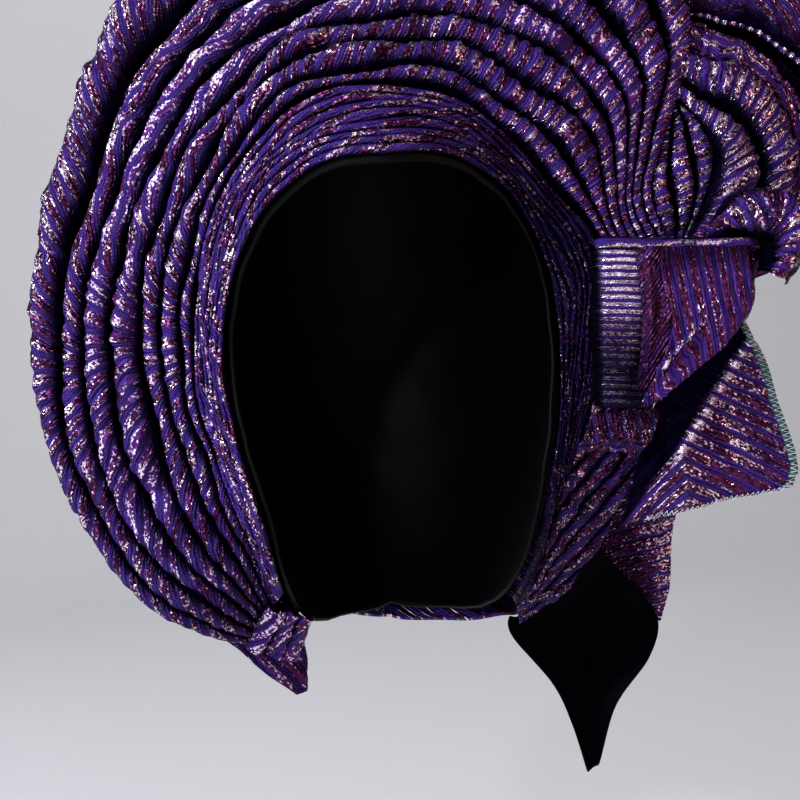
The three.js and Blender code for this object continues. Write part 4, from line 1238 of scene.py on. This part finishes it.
def make_corner_flap():
    fan = edge_fan(CORNER_FLAP, FLAP_WIDTH, FLAP_DROP, KNOT_DEPTH)
    along, share, points = sheet_grid(fan, 132, 118)
    x = points[..., 0] - KNOT_CORNER[0] - FLAP_CREASE[0]
    z = points[..., 2] - KNOT_CORNER[2] - FLAP_CREASE[1]
    right_way = math.radians(FLAP_RIGHT_WAY)
    left_way = math.radians(FLAP_LEFT_WAY)
    falling = x * math.sin(right_way) + z * math.cos(right_way)
    fanned = (z * math.cos(left_way) - x * math.sin(left_way)) * (1 - 0.006 * x)
    spot = (np.maximum(falling, fanned) * 1.06, np.where(falling > fanned, x, z))
    crease = 2.5 * hill(falling - fanned, 9)
    from_foot = (points - np.array(KNOT_CORNER))[..., ::2] - np.array(KNOT_EDGE_FOOT)
    past_knot = from_foot[..., 0] * KNOT_EDGE_AWAY[0] + from_foot[..., 1] * KNOT_EDGE_AWAY[1]
    lit_fold = hill(past_knot - 14, 1.9) * blend(-15, 5, x)
    wave = 1.4 * np.sin(share * 5 + along * 2) * along + crease + 2.2 * lit_fold
    points = raised(points, puckers(*spot, 131, rib=0.35, pucker=1.5) + wave)
    # Painted shadow of the knot in a band past its lower right edge, painted shade toward the flap's left,
    # and painted glints along the lit fold
    shade = blend(10, 12.5, past_knot) * mix(0.3, 1, blend(-60, -15, x)) + 1.1 * lit_fold
    cloth("corner_flap_cloth", points, spot, ("corner_flap",), FOLD_WALL, shade, finish="pink")
    return points


def make_right_tail():
    fan = tail_fan(RIGHT_TAIL, TAIL_WIDTH, TAIL_DROP, tail_start())
    along, share, points = sheet_grid(fan, 80, 44)
    spot = (points[..., 2] - 0.2 * points[..., 0], points[..., 0])
    points = raised(points, puckers(*spot, 141, rib=0.3, pucker=1.5) * blend(0, 0.1, along))
    # Painted light: darker toward the left, with painted glints toward the right edge
    shade = 0.65 + 0.65 * blend(0.45, 0.95, share)
    cloth("right_tail_cloth", points, spot, ("right_tail",), FOLD_WALL, shade, finish="maroon")


def make_lining_tail():
    fan = hung_from(tail_fan(TAIL_LINING, TAIL_WIDTH, TAIL_DROP, tail_start()), LINING_TURNS)
    along, share, points = sheet_grid(fan, 80, 44)
    fold = 3.2 * hill(share - 0.24 - 0.1 * along, 0.09) * along * (1.15 - along)
    points = raised(points, 1.8 * np.sin(share * 4.2 + along * 3) * along + fold)
    spot = (points[..., 0], points[..., 2])
    cloth("lining_tail", points, spot, ("tail_lining",), LINING_WALL, finish="lining")


def make_left_tail():
    fan = tail_fan(LEFT_TAIL, LEFT_TAIL_WIDTH, LEFT_TAIL_DROP, left_tail_start())
    along, share, points = sheet_grid(hung_from(fan, LEFT_TAIL_TURNS), 54, 54)
    spot = (points[..., 0] * 0.8 + points[..., 2] * 0.6, points[..., 2] * 0.9)
    points = raised(points, puckers(*spot, 151, rib=0.3, pucker=0.9) * blend(0, 0.1, along))
    # Painted shade: the left tail is a little darker all over
    cloth("left_tail_cloth", points, spot, ("left_tail",), FOLD_WALL, 0.8, finish="satin")


# Overlock stitches along an edge of a flap: the grid rows left free at their start and end, and how many
# columns in from the edge their inner side is read
OVERLOCK_START = 3
OVERLOCK_END = 18
OVERLOCK_INNER = 5


def stitches(name, line, toward, turn_at, pitch=2.3, reach=3.1, radius=0.3):
    distance = np.concatenate([[0], np.cumsum(np.linalg.norm(np.diff(line, axis=0), axis=-1))])
    count = int(distance[-1] / pitch) * 2
    at = np.linspace(0, distance[-1], count)
    edge = np.stack([np.interp(at, distance, line[:, axis]) for axis in range(3)], -1)
    inward = np.stack([np.interp(at, distance, toward[:, axis]) for axis in range(3)], -1)
    reach = reach * (1 - 0.45 * blend(turn_at - 4, turn_at + 4, at))
    zigzag = edge + inward * np.where(np.arange(count) % 2, reach, -0.4)[:, None]
    zigzag[:, 1] -= 1.3
    curve = bpy.data.curves.new(name, "CURVE")
    curve.dimensions = "3D"
    curve.bevel_depth = radius * MM
    curve.bevel_resolution = 1
    spline = curve.splines.new("POLY")
    spline.points.add(count - 1)
    spline.points.foreach_set("co", np.concatenate([zigzag * MM, np.ones((count, 1))], 1).ravel())
    holder = bpy.data.objects.new(name + "_line", curve)
    bpy.context.scene.collection.objects.link(holder)
    mesh = bpy.data.meshes.new_from_object(holder.evaluated_get(bpy.context.evaluated_depsgraph_get()))
    bpy.data.objects.remove(holder)
    mesh.name = name
    mesh.materials.clear()
    mesh.materials.append(FINISHES["overlock"])
    piece = bpy.data.objects.new(name, mesh)
    bpy.context.scene.collection.objects.link(piece)
    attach(piece, "root")


def make_overlock(points):
    """Thread down the flap's right edge and along its lower one, over a darker ground on the right"""
    right_edge = points[OVERLOCK_START:, -1]
    lower_edge = points[-1, ::-1]
    from_right = unit(points[OVERLOCK_START:, -OVERLOCK_INNER] - right_edge)
    from_below = unit(points[-OVERLOCK_INNER, ::-1] - lower_edge)
    outline = np.concatenate([right_edge, lower_edge[1:]])
    inward = np.concatenate([from_right, from_below[1:]])
    ground = right_edge[:, None] + from_right[:, None] * np.linspace(-0.2, 3.4, 5)[None, :, None]
    ground[..., 1] -= 0.7
    spot = (ground[..., 0], ground[..., 2])
    cloth("overlock_ground", ground, spot, finish="overlock_base")
    right_length = np.linalg.norm(np.diff(right_edge, axis=0), axis=-1).sum()
    stitches("flap_overlock", outline[:-OVERLOCK_END], inward[:-OVERLOCK_END], right_length)


# Camera at the photograph's place, in metres and degrees, with its lens and sensor in millimetres
LOOKED_AT = (-0.001, -0.06, -0.148)
CAMERA_DISTANCE = 0.75
CAMERA_YAW = -6
CAMERA_ROLL = -4
LENS = 80.36
SENSOR_WIDTH = 36

# Floor that bends up into a wall behind, in metres
FLOOR_HEIGHT = -0.46
FLOOR_FLAT = 2.2
FLOOR_BEND = 1.2
WALL_SLOPE = 1.6


def make_camera():
    yaw = math.radians(CAMERA_YAW)
    roll_angle = math.radians(CAMERA_ROLL)
    back = Vector((math.sin(yaw), -math.cos(yaw), 0))
    level = Vector((math.cos(yaw), math.sin(yaw), 0))
    upright = Vector((0, 0, 1))
    right = level * math.cos(roll_angle) + upright * math.sin(roll_angle)
    up = upright * math.cos(roll_angle) - level * math.sin(roll_angle)
    eye = Vector(LOOKED_AT) + back * CAMERA_DISTANCE
    camera = bpy.data.cameras.new("camera")
    camera.lens = LENS
    camera.sensor_width = SENSOR_WIDTH
    camera.clip_start = 0.01
    holder = bpy.data.objects.new("camera", camera)
    turn = Matrix((right, up, back)).transposed().to_4x4()
    holder.matrix_world = Matrix.Translation(eye) @ turn
    bpy.context.scene.collection.objects.link(holder)
    bpy.context.scene.camera = holder


def make_floor():
    shape = bmesh.new()
    bmesh.ops.create_grid(shape, x_segments=2, y_segments=64, size=6)
    for corner in shape.verts:
        beyond = max(0, corner.co.y - FLOOR_FLAT)
        bend = min(beyond, FLOOR_BEND)
        rise = FLOOR_BEND - math.sqrt(max(0, FLOOR_BEND ** 2 - bend * bend))
        rise += max(0, beyond - FLOOR_BEND) * WALL_SLOPE
        corner.co.z = FLOOR_HEIGHT + rise
        corner.co.y = min(corner.co.y, FLOOR_FLAT) + bend
    mesh = bpy.data.meshes.new("floor")
    shape.to_mesh(mesh)
    shape.free()
    mesh.polygons.foreach_set("use_smooth", np.ones(len(mesh.polygons), bool))
    floor = bpy.data.objects.new("floor", mesh)
    bpy.context.scene.collection.objects.link(floor)
    material, _, shader = new_material("pale floor")
    shader.inputs["Base Color"].default_value = (0.78, 0.79, 0.82, 1)
    shader.inputs["Roughness"].default_value = 0.8
    mesh.materials.append(material)


def make_light(name, spot, toward, size, power, colour):
    light = bpy.data.lights.new(name, "AREA")
    light.size = size
    light.energy = power
    light.color = colour
    holder = bpy.data.objects.new(name, light)
    holder.location = spot
    holder.rotation_euler = (Vector(toward) - Vector(spot)).to_track_quat("-Z", "Y").to_euler()
    bpy.context.scene.collection.objects.link(holder)


def make_lights():
    middle = (0, -0.03, -0.1)
    make_light("window", (-2.0, -1.0, 1.15), middle, 0.6, 74, (0.92, 0.95, 1.0))
    make_light("top", (-0.3, -0.5, 1.9), middle, 0.8, 6, (0.93, 0.95, 1.0))
    make_light("warm", (1.7, -1.1, 0.15), middle, 0.3, 9, (1.0, 0.38, 0.22))
    make_light("glint_left", (-0.9, -1.7, 0.5), middle, 0.1, 10, (1.0, 0.97, 1.0))
    make_light("wall", (0, 1.2, 2.4), (0, 3.4, 0.0), 1.6, 26, (1.0, 0.99, 0.98))
    world = bpy.data.worlds.new("studio")
    world.use_nodes = True
    background = world.node_tree.nodes["Background"]
    background.inputs["Color"].default_value = (0.80, 0.82, 0.90, 1)
    background.inputs["Strength"].default_value = 0.06
    bpy.context.scene.world = world
    bpy.context.scene.view_settings.view_transform = "Standard"


make_camera()
make_cap()
make_back()
make_band()
make_side()
make_brim()
make_bow()
make_bow_beads()
make_lobes()
make_left_face()
make_turned_corner()
make_right_face()
make_knot_hem()
make_rosette()
make_nape()
make_under_flap()
make_overlock(make_corner_flap())
make_right_tail()
make_lining_tail()
make_left_tail()
make_floor()
make_lights()
